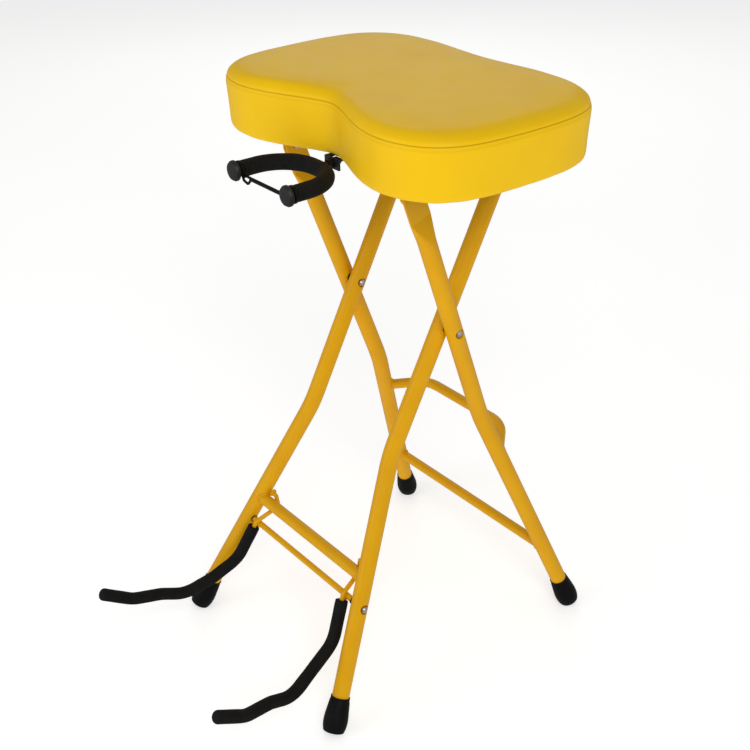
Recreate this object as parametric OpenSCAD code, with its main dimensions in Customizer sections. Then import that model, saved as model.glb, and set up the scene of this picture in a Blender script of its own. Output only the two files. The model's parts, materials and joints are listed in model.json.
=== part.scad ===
// Folding guitar stool: a padded seat on a scissor stand of two steel tube frames,
// with a swivelling neck fork under the seat's front and a fold-up cradle by the feet.
// Millimetres. +Z is up, the seat's long side runs along X and the guitar hangs on the
// -Y side. The origin is on the floor, in the middle of the stool's footprint.

/* [Scissor stand] */
// Height of the scissor bolts above the floor
pivot_h = 468; // [440:1:500]
// Lean of the front frame from upright, in degrees
front_lean = 27.4; // [25:0.1:29]
// Lean of the rear frame from upright, in degrees
rear_lean = 20.1; // [18:0.1:22]
// Distance between the centres of the front legs above their knees
front_w = 163; // [150:1:176]
// Gap between a front leg and the rear leg beside it
leg_gap = 1.8; // [1.4:0.1:3]
// Outward lean of the rear legs above their knees, in degrees
rear_flare = 1.2; // [0.6:0.1:1.6]
// Height of the front legs' knees
front_knee_h = 313; // [290:1:335]
// Height of the rear legs' knees
rear_knee_h = 327; // [305:1:345]
// Distance between the centres of the front feet on the floor
front_foot_w = 318; // [300:1:336]
// Distance between the centres of the rear feet on the floor
rear_foot_w = 356; // [340:1:372]
// Bend radius of the knees, at the tube's centre line
knee_r = 160; // [100:1:190]

/* [Tubes] */
// Outside diameter of the leg tubes
tube_d = 22; // [20:0.5:25]
// Wall of the leg tubes
tube_wall = 1.5; // [1:0.1:2]
// Outside diameter of the front crossbar and the top rail
bar_d = 16; // [12:0.5:18]
// Outside diameter of the rear crossbar
rear_bar_d = 14; // [12:0.5:16]
// Wall of the crossbars and the footrest
bar_wall = 1.2; // [0.8:0.1:1.6]
// Height of the front crossbar
front_bar_h = 175; // [170:1:185]
// Height of the rear crossbar
rear_bar_h = 103; // [98:1:108]
// Height of the top rail
rail_h = 660; // [655:1:662]

/* [Crimped leg tops] */
// Height at which the rear legs start to flatten
crimp_h = 600; // [585:1:612]
// Length along the leg over which the tube flattens
crimp_l = 30; // [20:1:34]
// Width of the flattened end
flat_w = 29; // [27:1:34]
// Thickness of the flattened end
flat_t = 3; // [2.6:0.1:4]

/* [Footrest] */
// Height at which the footrest meets the legs
rest_h = 265.5; // [250:0.5:285]
// Distance from the legs out to the footrest's straight bar
rest_reach = 46; // [36:1:56]
// Rise of the straight bar above the ends
rest_rise = 7.5; // [0:0.5:14]
// Distance between the footrest's two corners
rest_w = 150; // [140:1:170]
// Bend radius of the corners
rest_r = 45; // [30:1:48]
// Outside diameter of the footrest
rest_d = 14; // [12:0.5:16]

/* [Rubber feet] */
// Length of a foot along its leg
foot_l = 44.5; // [40:0.5:52]
// Diameter of a foot at its top
foot_top_d = 24.6; // [24:0.1:27]
// Diameter of a foot at its belly
foot_belly_d = 31; // [29:0.5:31]
// Diameter of a foot's square-cut lower end
foot_floor_d = 27; // [25:0.5:29]
// Rubber below the end of a leg
foot_sole = 5; // [4:0.5:8]
// Depth of the flat where a foot's lower rim stands on the floor
foot_wear = 1.5; // [1:0.1:2]

/* [Seat] */
// Length of the seat along X
seat_l = 426; // [400:1:450]
// Depth of the seat from its front lobes to its back
seat_d = 283; // [270:1:300]
// Height of the seat's underside
seat_h = 680; // [678:1:690]
// Height of the padded seat from its underside to its crown
seat_t = 72; // [64:1:84]
// Distance of the seat's middle behind the scissor bolts
seat_y = 9.5; // [5:0.5:14]
// Height of the top seam above the underside
seam_h = 65; // [58:1:66]
// Thickness of the vinyl cover
skin_t = 1; // [0.8:0.1:1.4]
// Width of the cover's turned-under edge
hem_w = 26; // [22:1:32]
// Thickness of the plywood board
board_t = 12; // [9:1:15]

/* [Seat fittings] */
// Thickness of the steel fittings
plate_t = 2.5; // [2:0.1:3]
// Depth of the seat hinge below the seat's underside
hinge_drop = 19.5; // [18.6:0.1:21]
// Thickness of the plastic rail clips
clip_t = 3; // [2:0.1:3.4]
// Width of a rail clip
clip_w = 24; // [18:1:30]
// Distance of a rail clip from the stool's middle
clip_x = 52; // [45:1:58]

/* [Neck fork] */
// Distance between the centre lines of the fork's arms
fork_w = 101; // [98:1:106]
// Distance of the fork's back in front of the scissor bolts
fork_y = 118; // [116:1:122]
// Length of the fork's foam from its back to the caps
fork_l = 65; // [60:1:80]
// Bend radius of the fork's corners
fork_r = 47; // [40:1:48]
// Diameter of the fork's steel rod
fork_rod_d = 8; // [6:0.5:8]
// Diameter of the fork's foam
fork_foam_d = 19; // [16:0.5:19]
// Depth of the fork below the seat's underside
fork_drop = 7.3; // [7.2:0.1:9]
// Diameter of the end caps
cap_d = 23.5; // [21:0.5:26]
// Width of the rubber strap
strap_w = 4.6; // [3.6:0.2:6]
// Thickness of the rubber strap
strap_t = 2.6; // [2:0.2:3.4]
// Distance of the strap's bar below the caps' middle
strap_drop = 5; // [4:0.5:6]

/* [Guitar cradle] */
// Height of the cradle's pivot above the floor
cradle_h = 145.4; // [143:0.2:148]
// Outside diameter of the tube that joins the cradle's arms
link_d = 8; // [7.6:0.2:9]
// Diameter of the arm rods
arm_d = 6; // [5:0.2:7]
// Diameter of the foam sleeves
sleeve_d = 16.5; // [14:0.5:18]
// Reach of the arms in front of the pivot
arm_reach = 217.5; // [200:0.5:240]
// Drop of the arms' lowest bend below the pivot
arm_drop = 83; // [76:1:90]
// Distance of each arm from the middle, at the pivot
arm_x = 97; // [94:1:99]
// Outward spread of each arm from the pivot to its tip
arm_spread = 41; // [34:1:50]

/* [Fasteners] */
// Diameter of the bolts that the frames, the seat and the cradle turn on
bolt_d = 5; // [4:0.5:5]
// Diameter of the heads of those bolts
head_d = 10; // [9:0.5:12]
// Diameter of the wood screws
screw_d = 4; // [3.5:0.1:4.5]

/* [Hidden] */
$fn = 64;

// Colours
paint_c = "#E3A91B";
vinyl_c = "#E8B82A";
rubber_c = "#1B1A1A";
foam_c = "#161616";
steel_c = "#C9C6C0";
ply_c = "#B98F5C";
sheet_c = "#2A2A2A";
sponge_c = "#E9DFA8";
white_c = "#E6E4DC";

// Clearances and small working values
run = 0.08;      // radial clearance of a bolt or rod that turns in its hole
slip = 0.3;      // gap between pieces that move past each other
grip = 0.05;     // gap between pieces that are pushed together
cut = 1;         // overrun of a cutting shape
film = 0.2;      // thickness of the thin slices that a blended shape runs between
ridge = 0.02;    // height of the faint ridge that a bend leaves where it meets a straight
lip = 0.08;      // how far the start of a blended shape is set in from the tube's walls
blend_fn = 32;   // sides of a blended shape

// Directions and places that follow from the sizes above
left = -1;
right = 1;
sides = [left, right];
front_x = front_w / 2;
rear_x = front_x + tube_d + leg_gap;
function unit(v) = v / norm(v);
function front_s(z) = (z - pivot_h) / cos(front_lean);
function rear_s(z) = (z - pivot_h) / cos(rear_lean);
// A point (across, out of plane, along) of a leaning frame, measured from the scissor axis
function leaned(p, a) = [p.x, p.y * cos(a) - p.z * sin(a), p.y * sin(a) + p.z * cos(a)];

// How far up a leg's line the square lower end of its foot lies, when its rim stands on the floor
function foot_lift(up) = (foot_floor_d / 2 * sqrt(1 - up.z * up.z) - foot_wear) / up.z;

// The two legs of a side, as points (across, 0, along) in their frame's own plane
rail_s = front_s(rail_h);
front_end_s = rail_s + bar_d / 2;
front_top = [front_x, 0, front_end_s];
front_knee = [front_x, 0, front_s(front_knee_h)];
front_floor = [front_foot_w / 2, 0, front_s(0)];
front_dir = unit(front_knee - front_floor);
front_up = leaned(front_dir, -front_lean);
front_low = front_floor + (foot_lift(front_up) + foot_sole) * front_dir;
hinge_h = seat_h - hinge_drop;
hinge_s = rear_s(hinge_h);
hinge_x = rear_x + hinge_s * tan(rear_flare);
hinge_y = -hinge_s * sin(rear_lean);
crimp_s = rear_s(crimp_h);
crimp_end_s = crimp_s + crimp_l;
rear_crimp = [rear_x + crimp_s * tan(rear_flare), 0, crimp_s];
rear_knee = [rear_x + rear_s(rear_knee_h) * tan(rear_flare), 0, rear_s(rear_knee_h)];
rear_floor = [rear_foot_w / 2, 0, rear_s(0)];
rear_dir = unit(rear_knee - rear_floor);
rear_up = leaned(rear_dir, rear_lean);
rear_low = rear_floor + (foot_lift(rear_up) + foot_sole) * rear_dir;

// Crossbars and the cradle's pivot lie across the lower legs
function front_leg_x(s) =
    front_x + (front_knee.z - s) * (front_floor.x - front_knee.x) / (front_knee.z - front_floor.z);
function rear_leg_x(s) =
    rear_knee.x + (rear_knee.z - s) * (rear_floor.x - rear_knee.x) / (rear_knee.z - rear_floor.z);
front_bar_s = front_s(front_bar_h);
rear_bar_s = rear_s(rear_bar_h);
cradle_s = front_s(cradle_h);
cradle_y = cradle_s * sin(front_lean);
leg_splay = atan(-front_dir.x / front_dir.z);

// The origin: the middle between the cradle's tips and the rear feet
rear_foot_end = leaned(rear_floor, rear_lean) + foot_lift(rear_up) * rear_up;
back_y = rear_foot_end.y + foot_floor_d / 2 * sqrt(1 - rear_up.y * rear_up.y);
tip_y = cradle_y - arm_reach - sleeve_d / 2;
pivot_y = -(tip_y + back_y) / 2;

// Seat levels, upwards from the fittings
hem_z = seat_h;
sheet_t = 0.8;
sheet_inset = 16;
fitting_z = hem_z - sheet_t;
board_z = hem_z + skin_t;
board_inset = 9.4;

// Bolts: low domed heads with a hexagon socket, plain washers and domed nuts
head_h = 2.4;
socket_af = 3;
socket_h = 1.4;
nut_af = 8;
nut_h = 3;
dome_h = 1.6;
washer_d = 13;
washer_t = 1.2;
hinge_gap = 1.4;
hinge_washer_t = hinge_gap - 2 * film;
ear_w = 38;
ear_eye_d = 28;
ear_flange_l = 28;
ear_outer_x = hinge_x - flat_t / 2 - hinge_gap;
ear_inner_x = ear_outer_x - plate_t;

// The round seats that are pressed into the legs for them
dimple_d = 12.4;
dimple_depth = 4;
seat_out = tube_d / 2 - dimple_depth;

// Wood screws
screw_head_d = 8;
screw_head_h = 2.4;
screw_l = 10;

// Rail clips
clip_r = bar_d / 2 + slip;
clip_from = -20;
clip_to = 145;
clip_flange_from = -24;
clip_flange_to = 21;
rail_y = rail_s * sin(front_lean);

// Fork bracket
bracket_w = 26;
bracket_l = 44;
bracket_y = fork_y - 22;
bracket_drop = 13;
stem_d = 6;
fork_nut_af = 10;
fork_nut_h = 5;
fork_washer_d = 12;
stem_l = 34;
window_w = fork_washer_d + 2;
window_l = 9;

// Fork caps and strap
neck_d = 14;
neck_l = 7;
cap_t = 7;
cap_edge = 1.6;
cap_floor = 3;
strap_ring_d = 20.5;
strap_ring_t = 4.4;
strap_eye_w = 12;
strap_eye_h = 11;
strap_eye_wall = 2.2;
strap_lip = 3;

// Cradle: where the arms' bends lie, as shares of the spread, the reach and the drop
arm_shares = [
    [0.29, -0.15, -0.62],
    [0.45, -0.325, -0.835],
    [0.685, -0.506, -1],
    [0.783, -0.662, -0.812],
    [0.93, -0.841, -0.705],
    [1, -1, -0.413]
];
arm_bend_r = 28;
hook_clear = (bar_d + arm_d) / 2;
hook_back = hook_clear + 4.5;    // the hook's elbow, behind the crossbar's middle
hook_low = 3;                    // the hook's elbow, below the crossbar's middle
hook_rise = hook_clear + 7.5;    // the hook's top, above the crossbar's middle
hook_top_back = 2;               // the hook's top, behind the crossbar's middle
hook_in = 7;          // the hook's elbow, nearer the middle than the arm
hook_top_in = 4;      // the hook's top, nearer the middle than the arm
hook_tip = [3.6, -1, -4.6];
hook_elbow_r = 7;
hook_tip_r = 4.5;
sleeve_start = 8.5;
sleeve_tip = 4;
lock_nut_af = 8;
lock_nut_h = 3.8;
lock_collar_d = 7.4;
lock_collar_h = 1.2;
cradle_washer_d = 10;
cradle_washer_t = 1;

// The seat's outline, from the front notch round the right end to the back: shares of
// half the length and half the depth, joined by a smooth curve
half_outline_shares = [
    [0, -0.745], [0.14, -0.80], [0.30, -0.90], [0.44, -0.97], [0.58, -1], [0.72, -0.97],
    [0.84, -0.88], [0.93, -0.72], [0.98, -0.48], [1, -0.12], [1, 0.22], [0.98, 0.47],
    [0.93, 0.68], [0.83, 0.85], [0.70, 0.95], [0.54, 0.99], [0.38, 1], [0.18, 0.985], [0, 0.975]
];
outline_shares = concat(
    half_outline_shares,
    [for (i = [len(half_outline_shares) - 2 : -1 : 1]) [-half_outline_shares[i].x, half_outline_shares[i].y]]
);
function share_at(i) = outline_shares[(i + len(outline_shares)) % len(outline_shares)];
// Catmull-Rom curve between control shares b and c
function curve(a, b, c, d, t) = 0.5 * (2 * b + (c - a) * t + (2 * a - 5 * b + 4 * c - d) * t * t
    + (3 * b - a - 3 * c + d) * t * t * t);
function edge_at(u) = let (
    i = floor(u),
    q = curve(share_at(i - 1), share_at(i), share_at(i + 1), share_at(i + 2), u - i)
)
    [q.x * seat_l / 2, q.y * seat_d / 2];
// One ring of n points, drawn in from the seat's outline by a length
function ring(n, inset) =
    [for (k = [0 : n - 1]) let (p = edge_at(k * len(outline_shares) / n)) p - inset * unit(p)];
function at_height(points, z) = [for (p = points) [p.x, p.y, z]];
function shrunk(points, share) = [for (p = points) p * share];

// The cover's section from the turned-under hem over the rounded lower edge, the drawn-in
// side and the seam to the crowned top: how far in, and how high above the underside
edge_r = 8;
side_in = 3;
belly_out = 1;
seam_in = 1.4;
crown_h = seat_t - seam_h;
seat_rings = 44;
function cover_rings(t) = [
    [hem_w, t],
    [edge_r + t, t],
    [side_in + (edge_r - side_in) * 0.43 + t, edge_r * 0.18 + t * 0.7],
    [side_in + (edge_r - side_in) * 0.09 + t, edge_r * 0.58 + t * 0.3],
    [side_in + t, edge_r],
    [side_in + t, seam_h * 0.42],
    [side_in * 0.3 + t, seam_h * 0.68],
    [t - belly_out, seam_h * 0.88],
    [seam_in + t, seam_h - t * 0.3],
    [seam_in * 2 + t, seam_h + crown_h * 0.28 - t * 0.7],
    [edge_r + t, seam_h + crown_h * 0.62 - t],
    [edge_r * 3 + t, seam_h + crown_h * 0.82 - t]
];
crown_shares = [[0.55, 0.95], [0.25, 0.99]];
function skin(n, t) = concat(
    [for (r = cover_rings(t)) at_height(ring(n, r.x), r.y)],
    [for (c = crown_shares) at_height(shrunk(ring(n, 0), c.x), seam_h + crown_h * c.y - t)]
);
function crown_point(t) = [0, 0, seat_t - t];

// Faces of a stack of rings; the last point closes the top
function band_faces(n, first, rows, flip) = [for (j = [0 : rows - 2], k = [0 : n - 1])
    let (a = first + j * n + k, b = first + j * n + (k + 1) % n, c = a + n, d = b + n)
    each (flip ? [[a, b, d], [a, d, c]] : [[a, d, b], [a, c, d]])];
function cap_faces(n, first, tip, flip) = [for (k = [0 : n - 1])
    flip ? [first + k, first + (k + 1) % n, tip] : [first + k, tip, first + (k + 1) % n]];
function hem_faces(n, outer, inner) = [for (k = [0 : n - 1])
    let (a = outer + k, b = outer + (k + 1) % n, c = inner + k, d = inner + (k + 1) % n)
    each [[a, b, d], [a, d, c]]];
function flat_faces(n, first) = [for (k = [1 : n - 2]) [first, first + k, first + k + 1]];

module stand() {
    translate([0, pivot_y, pivot_h]) children();
}

module front_plane() {
    stand() rotate([-front_lean, 0, 0]) children();
}

module rear_plane() {
    stand() rotate([rear_lean, 0, 0]) children();
}

// Underside level of the seat, with y measured from the scissor bolts
module seat_plane(z) {
    translate([0, pivot_y, z]) children();
}

// Turns local +Z into +X or -X
module facing(side) {
    rotate([0, side * 90, 0]) children();
}

// Draws in the YZ plane and extrudes along +X
module across() {
    rotate([90, 0, 90]) children();
}

// Carries children, drawn along +Z, to a point and a direction
module aimed(p, d) {
    translate(p) rotate([0, acos(d.z / norm(d)), atan2(d.y, d.x)]) children();
}

// A rod along a line of points, with a round bend of its own radius at each inner point
function turn_angle(p, i) = acos(unit(p[i] - p[i - 1]) * unit(p[i + 1] - p[i]));
function setback(p, r, i) = i == 0 || i == len(p) - 1 ? 0 : r[i - 1] * tan(turn_angle(p, i) / 2);

module elbow(p, r, i, d) {
    into = unit(p[i] - p[i - 1]);
    away = unit(p[i + 1] - p[i]);
    aimed(p[i] - (setback(p, r, i) + film) * into, into) cylinder(h = film + grip, d = d + 2 * ridge);
    aimed(p[i] + (setback(p, r, i) - grip) * away, away) cylinder(h = film + grip, d = d + 2 * ridge);
    inward = unit(away - (away * into) * into);
    centre = p[i] - setback(p, r, i) * into + r[i - 1] * inward;
    up = cross(-inward, into);
    multmatrix([
        [-inward.x, into.x, up.x, centre.x],
        [-inward.y, into.y, up.y, centre.y],
        [-inward.z, into.z, up.z, centre.z],
        [0, 0, 0, 1]
    ]) rotate_extrude(angle = turn_angle(p, i)) translate([r[i - 1], 0]) circle(d = d);
}

module bent_rod(p, r, d) {
    for (i = [0 : len(p) - 2]) {
        way = unit(p[i + 1] - p[i]);
        start = p[i] + (i == 0 ? 0 : setback(p, r, i) + film / 2) * way;
        end = p[i + 1] - (i == len(p) - 2 ? 0 : setback(p, r, i + 1) + film / 2) * way;
        aimed(start, way) cylinder(h = norm(end - start), d = d);
    }
    for (i = [1 : len(p) - 2]) elbow(p, r, i, d);
}

// The same line of points, run on past both ends
function stretched(p, l) = [for (i = [0 : len(p) - 1])
    i == 0 ? p[0] - l * unit(p[1] - p[0])
    : i == len(p) - 1 ? p[i] + l * unit(p[i] - p[i - 1])
    : p[i]];
function mirrored(p, side) = [for (q = p) [side * q.x, q.y, q.z]];

// A straight tube across the stool between two legs, with its ends notched to fit them
module crossbar(half, s, d, wall) {
    difference() {
        translate([-half, 0, s]) facing(right) cylinder(h = 2 * half, d = d);
        translate([-half - cut, 0, s]) facing(right) cylinder(h = 2 * (half + cut), d = d - 2 * wall);
        children();
    }
}

// The outside of the lower legs, for notching what is welded between them
module lower_legs(knee, low) {
    for (side = sides) {
        p = mirrored([low, knee], side);
        aimed(p[0], p[1] - p[0]) cylinder(h = norm(p[1] - p[0]), d = tube_d);
    }
}

module bolt_hole(x, s) {
    translate([x - tube_d, 0, s]) facing(right) cylinder(h = 2 * tube_d, d = bolt_d + 2 * run);
}

// A bolt's head or nut sits in a round seat that is pressed into the leg's wall
module seat_pocket(at, side) {
    translate(at + [side * seat_out, 0, 0]) facing(side) cylinder(h = tube_d, d = dimple_d);
}

module pressed_seat(at, way, side) {
    difference() {
        intersection() {
            aimed(at - dimple_d * way, way) cylinder(h = 2 * dimple_d, d = tube_d - 2 * ridge);
            translate(at + [side * (seat_out - tube_wall), 0, 0]) facing(side)
                cylinder(h = tube_d, d = dimple_d + 2 * tube_wall);
        }
        seat_pocket(at, side);
    }
}

// Flattened top of a rear leg: the tube blends into a flat tongue with a round end
module crimped_top() {
    eye = [hinge_x, 0, hinge_s];
    rise = unit(rear_crimp - rear_knee);
    difference() {
        hull() {
            aimed(rear_crimp - film * rise, rise) cylinder(h = film, d = tube_d - 2 * lip, $fn = blend_fn);
            translate([hinge_x - flat_t / 2 + ridge, -flat_w / 2 + ridge, crimp_end_s])
                cube([flat_t - 2 * ridge, flat_w - 2 * ridge, film]);
        }
        hull() {
            aimed(rear_crimp - 2 * film * rise, rise)
                cylinder(h = film, d = tube_d - 2 * (tube_wall + lip), $fn = blend_fn);
            translate([hinge_x - film / 2, -flat_w / 2 + tube_wall, crimp_end_s - tube_wall])
                cube([film, flat_w - 2 * tube_wall, film]);
        }
    }
    difference() {
        union() {
            translate([hinge_x - flat_t / 2, -flat_w / 2, crimp_end_s])
                cube([flat_t, flat_w, hinge_s - crimp_end_s]);
            translate(eye - [flat_t / 2, 0, 0]) facing(right) cylinder(h = flat_t, d = flat_w);
        }
        bolt_hole(hinge_x, hinge_s);
    }
}

module tube_leg(p) {
    difference() {
        bent_rod(p, [knee_r], tube_d);
        bent_rod(stretched(p, cut), [knee_r], tube_d - 2 * tube_wall);
    }
}

module rear_leg(side) {
    p = [rear_low, rear_knee, rear_crimp];
    color(paint_c) rear_plane() mirror([side == left ? 1 : 0, 0, 0]) {
        difference() {
            union() {
                tube_leg(p);
                pressed_seat([rear_x, 0, 0], unit(p[2] - p[1]), right);
            }
            seat_pocket([rear_x, 0, 0], right);
            bolt_hole(rear_x, 0);
        }
        crimped_top();
    }
}

module front_leg(side) {
    p = [front_low, front_knee, front_top];
    cradle_end = [front_leg_x(cradle_s), 0, cradle_s];
    color(paint_c) front_plane() mirror([side == left ? 1 : 0, 0, 0]) difference() {
        union() {
            tube_leg(p);
            pressed_seat([front_x, 0, 0], unit(p[2] - p[1]), left);
            pressed_seat(cradle_end, front_dir, right);
        }
        seat_pocket([front_x, 0, 0], left);
        seat_pocket(cradle_end, right);
        bolt_hole(front_x, 0);
        bolt_hole(cradle_end.x, cradle_s);
    }
}

module rear_crossbar() {
    color(paint_c) rear_plane()
        crossbar(rear_leg_x(rear_bar_s), rear_bar_s, rear_bar_d, bar_wall) lower_legs(rear_knee, rear_low);
}

module front_crossbar() {
    color(paint_c) front_plane()
        crossbar(front_leg_x(front_bar_s), front_bar_s, bar_d, bar_wall) lower_legs(front_knee, front_low);
}

module front_top_rail() {
    color(paint_c) front_plane() crossbar(front_x, rail_s, bar_d, bar_wall)
        for (side = sides) translate([side * front_x, 0, 0]) cylinder(h = 2 * rail_s, d = tube_d);
}

module footrest_bar() {
    leg = leaned([rear_leg_x(rear_s(rest_h)), 0, rear_s(rest_h)], rear_lean);
    corner = [rest_w / 2, leg.y + rest_reach, leg.z + rest_rise];
    p = [mirrored([leg], left)[0], mirrored([corner], left)[0], corner, leg];
    color(paint_c) difference() {
        stand() bent_rod(p, [rest_r, rest_r], rest_d);
        stand() bent_rod(stretched(p, cut), [rest_r, rest_r], rest_d - 2 * bar_wall);
        rear_plane() lower_legs(rear_knee, rear_low);
    }
}

// A rubber ferrule on a leg's end: cut square, with a small flat where its rim stands
module foot(floor_point, up) {
    end = floor_point + foot_lift(up) * up;
    swell = (foot_belly_d - foot_floor_d) / 2;
    taper = (foot_belly_d - foot_top_d) / 2;
    difference() {
        aimed(end, up) rotate([0, 0, 180]) rotate_extrude() polygon([
            [0, 0], [foot_floor_d / 2, 0], [foot_floor_d / 2 + swell * 0.6, foot_l * 0.1],
            [foot_belly_d / 2 - swell * 0.1, foot_l * 0.19], [foot_belly_d / 2, foot_l * 0.27],
            [foot_belly_d / 2, foot_l * 0.36], [foot_belly_d / 2 - taper * 0.15, foot_l * 0.48],
            [foot_top_d / 2 + taper * 0.25, foot_l * 0.84], [foot_top_d / 2, foot_l * 0.92],
            [foot_top_d / 2, foot_l], [0, foot_l]
        ]);
        aimed(end + (foot_sole - grip) * up, up) cylinder(h = foot_l, d = tube_d + 2 * grip);
        translate([end.x - foot_l, end.y - foot_l, -pivot_h - foot_l]) cube([2 * foot_l, 2 * foot_l, foot_l]);
    }
}

module front_foot(side) {
    p = mirrored([leaned(front_floor, -front_lean), front_up], side);
    color(rubber_c) stand() foot(p[0], p[1]);
}

module rear_foot(side) {
    p = mirrored([leaned(rear_floor, rear_lean), rear_up], side);
    color(rubber_c) stand() foot(p[0], p[1]);
}

module front_leg_plugs() {
    insert_l = 12;
    color(rubber_c) front_plane() for (side = sides) translate([side * front_x, 0, front_end_s]) {
        cylinder(h = plate_t - cut / 2, d = tube_d);
        translate([0, 0, -insert_l]) cylinder(h = insert_l, d = tube_d - 2 * (tube_wall + grip));
    }
}

// A domed bolt head on z = 0 with its shank below
module bolt(l) {
    difference() {
        union() {
            cylinder(h = head_h * 0.55, d = head_d);
            translate([0, 0, head_h * 0.55]) cylinder(h = head_h * 0.45, d1 = head_d, d2 = head_d * 0.62);
        }
        translate([0, 0, head_h - socket_h])
            cylinder(h = socket_h + cut, d = socket_af / cos(30), $fn = 6);
    }
    translate([0, 0, -l]) cylinder(h = l, d = bolt_d);
}

// A domed nut on z = 0
module dome_nut() {
    difference() {
        union() {
            cylinder(h = nut_h, d = nut_af / cos(30), $fn = 6);
            translate([0, 0, nut_h]) cylinder(h = dome_h, d1 = nut_af * 0.9, d2 = nut_af * 0.4);
        }
        translate([0, 0, -cut]) cylinder(h = nut_h + cut, d = bolt_d + 2 * grip);
    }
}

module washer(d, hole, t) {
    difference() {
        cylinder(h = t, d = d);
        translate([0, 0, -cut]) cylinder(h = t + 2 * cut, d = hole);
    }
}

// All bolts go in from the left; on a pair of legs their faces lie this far from the middle
scissor_outer_x = rear_x + seat_out;
scissor_inner_x = front_x - seat_out - slip;

module through_bolts(inner, outer) {
    for (x = [-outer, inner]) translate([x, 0, 0]) facing(left) bolt(outer - inner + nut_h - cut / 2);
}

module dome_nuts(inner, outer) {
    for (x = [-inner, outer]) translate([x, 0, 0]) facing(right) dome_nut();
}

module scissor_bolts() {
    color(steel_c) stand() through_bolts(scissor_inner_x, scissor_outer_x);
}

module scissor_nuts() {
    color(steel_c) stand() dome_nuts(scissor_inner_x, scissor_outer_x);
}

module scissor_washers() {
    t = leg_gap - 2 * film;
    color(white_c) stand() for (side = sides)
        translate([side * (front_x + tube_d / 2 + film), 0, 0]) facing(side)
            washer(washer_d, bolt_d + 2 * run, t);
}

// Seat shell, board and foam
module on_seat() {
    translate([0, pivot_y + seat_y, seat_h]) children();
}

module seat_cover() {
    outer = skin(seat_rings, 0);
    inner = skin(seat_rings, skin_t);
    rows = len(outer);
    n = seat_rings;
    outer_tip = 2 * rows * n;
    points = concat(
        [for (r = outer) each r], [for (r = inner) each r],
        [crown_point(0), crown_point(skin_t)]
    );
    faces = concat(
        band_faces(n, 0, rows, false), cap_faces(n, (rows - 1) * n, outer_tip, false),
        band_faces(n, rows * n, rows, true), cap_faces(n, (2 * rows - 1) * n, outer_tip + 1, true),
        hem_faces(n, 0, rows * n)
    );
    color(vinyl_c) on_seat() polyhedron(points, faces, convexity = 4);
}

module screw_holes(d) {
    for (p = screw_places) translate([p.x, p.y + pivot_y, fitting_z - board_t])
        cylinder(h = 2 * board_t, d = d);
}

module seat_board() {
    color(ply_c) difference() {
        on_seat() translate([0, 0, skin_t]) linear_extrude(board_t) polygon(ring(seat_rings, board_inset));
        screw_holes(screw_d + 2 * grip);
    }
}

module seat_foam() {
    n = seat_rings;
    t = skin_t + film;
    // the pocket in which the board lies, then the sides and the top
    pocket_in = board_inset - slip;
    pocket = [for (z = [board_t + skin_t + film, t + film]) at_height(ring(n, pocket_in), z)];
    wall = [for (r = cover_rings(t)) if (r.x < pocket_in || r.y > seam_h) at_height(ring(n, r.x), r.y)];
    crown = [for (c = crown_shares) at_height(shrunk(ring(n, 0), c.x), seam_h + crown_h * c.y - t)];
    rings = concat(pocket, wall, crown);
    rows = len(rings);
    points = concat([for (r = rings) each r], [crown_point(t)]);
    faces = concat(
        band_faces(n, 0, rows, false), cap_faces(n, (rows - 1) * n, rows * n, false), flat_faces(n, 0)
    );
    color(sponge_c) on_seat() polyhedron(points, faces, convexity = 4);
}

module dust_cover() {
    color(sheet_c) difference() {
        on_seat() translate([0, 0, -sheet_t]) linear_extrude(sheet_t)
            polygon(ring(2 * seat_rings, sheet_inset));
        screw_holes(screw_d + 2 * grip);
    }
}

// Wire staples that hold the dust sheet and the hem to the board
module cover_staples() {
    count = 26;
    crown_w = 10;
    wire = 0.8;
    edge = ring(count, sheet_inset + 6);
    color(steel_c) on_seat() for (k = [0 : count - 1]) {
        p = edge[k];
        q = edge[(k + 1) % count];
        // none where the fork's bracket lies
        if (p.y > 0 || abs(p.x) > bracket_w / 2 + crown_w)
            translate([p.x, p.y, -sheet_t - wire]) rotate([0, 0, atan2(q.y - p.y, q.x - p.x)])
                translate([-crown_w / 2, -wire / 2, 0]) cube([crown_w, wire, wire]);
    }
}

// Seat hinges: a flange under the board and an ear beside each crimped leg
ear_screw_dx = ear_flange_l * 0.64;
ear_screw_dy = 11;
clip_screws = [clip_flange_from + 5.5, clip_flange_to - 5.2];
bracket_screw_dx = 7;
bracket_screw_y = -bracket_y + bracket_l * 0.78;
screw_places = concat(
    [for (side = sides, d = sides)
        [side * (ear_inner_x - ear_screw_dx + plate_t), hinge_y + d * ear_screw_dy]],
    [for (side = sides, d = clip_screws) [side * clip_x, rail_y + d]],
    [for (side = sides) [side * bracket_screw_dx, bracket_screw_y]]
);

module seat_ear(side) {
    drop = fitting_z - hinge_h;
    neck_w = ear_eye_d;
    color(paint_c) difference() {
        union() {
            translate([side * ear_inner_x, pivot_y, 0]) mirror([side == left ? 1 : 0, 0, 0]) {
                translate([0, hinge_y, hinge_h]) facing(right) cylinder(h = plate_t, d = ear_eye_d);
                across() linear_extrude(plate_t) polygon([
                    [hinge_y - ear_w / 2, fitting_z], [hinge_y - ear_w / 2, fitting_z - plate_t],
                    [hinge_y - neck_w / 2, hinge_h], [hinge_y + neck_w / 2, hinge_h],
                    [hinge_y + ear_w / 2, fitting_z - plate_t], [hinge_y + ear_w / 2, fitting_z]
                ]);
                translate([plate_t - ear_flange_l, hinge_y - ear_w / 2, hinge_h + drop - plate_t])
                    cube([ear_flange_l, ear_w, plate_t]);
            }
        }
        translate([side * ear_inner_x - tube_d, hinge_y + pivot_y, hinge_h]) facing(right)
            cylinder(h = 2 * tube_d, d = bolt_d + 2 * grip);
        screw_holes(screw_d + 2 * grip);
    }
}

hinge_outer_x = hinge_x + flat_t / 2 + slip;

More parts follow.
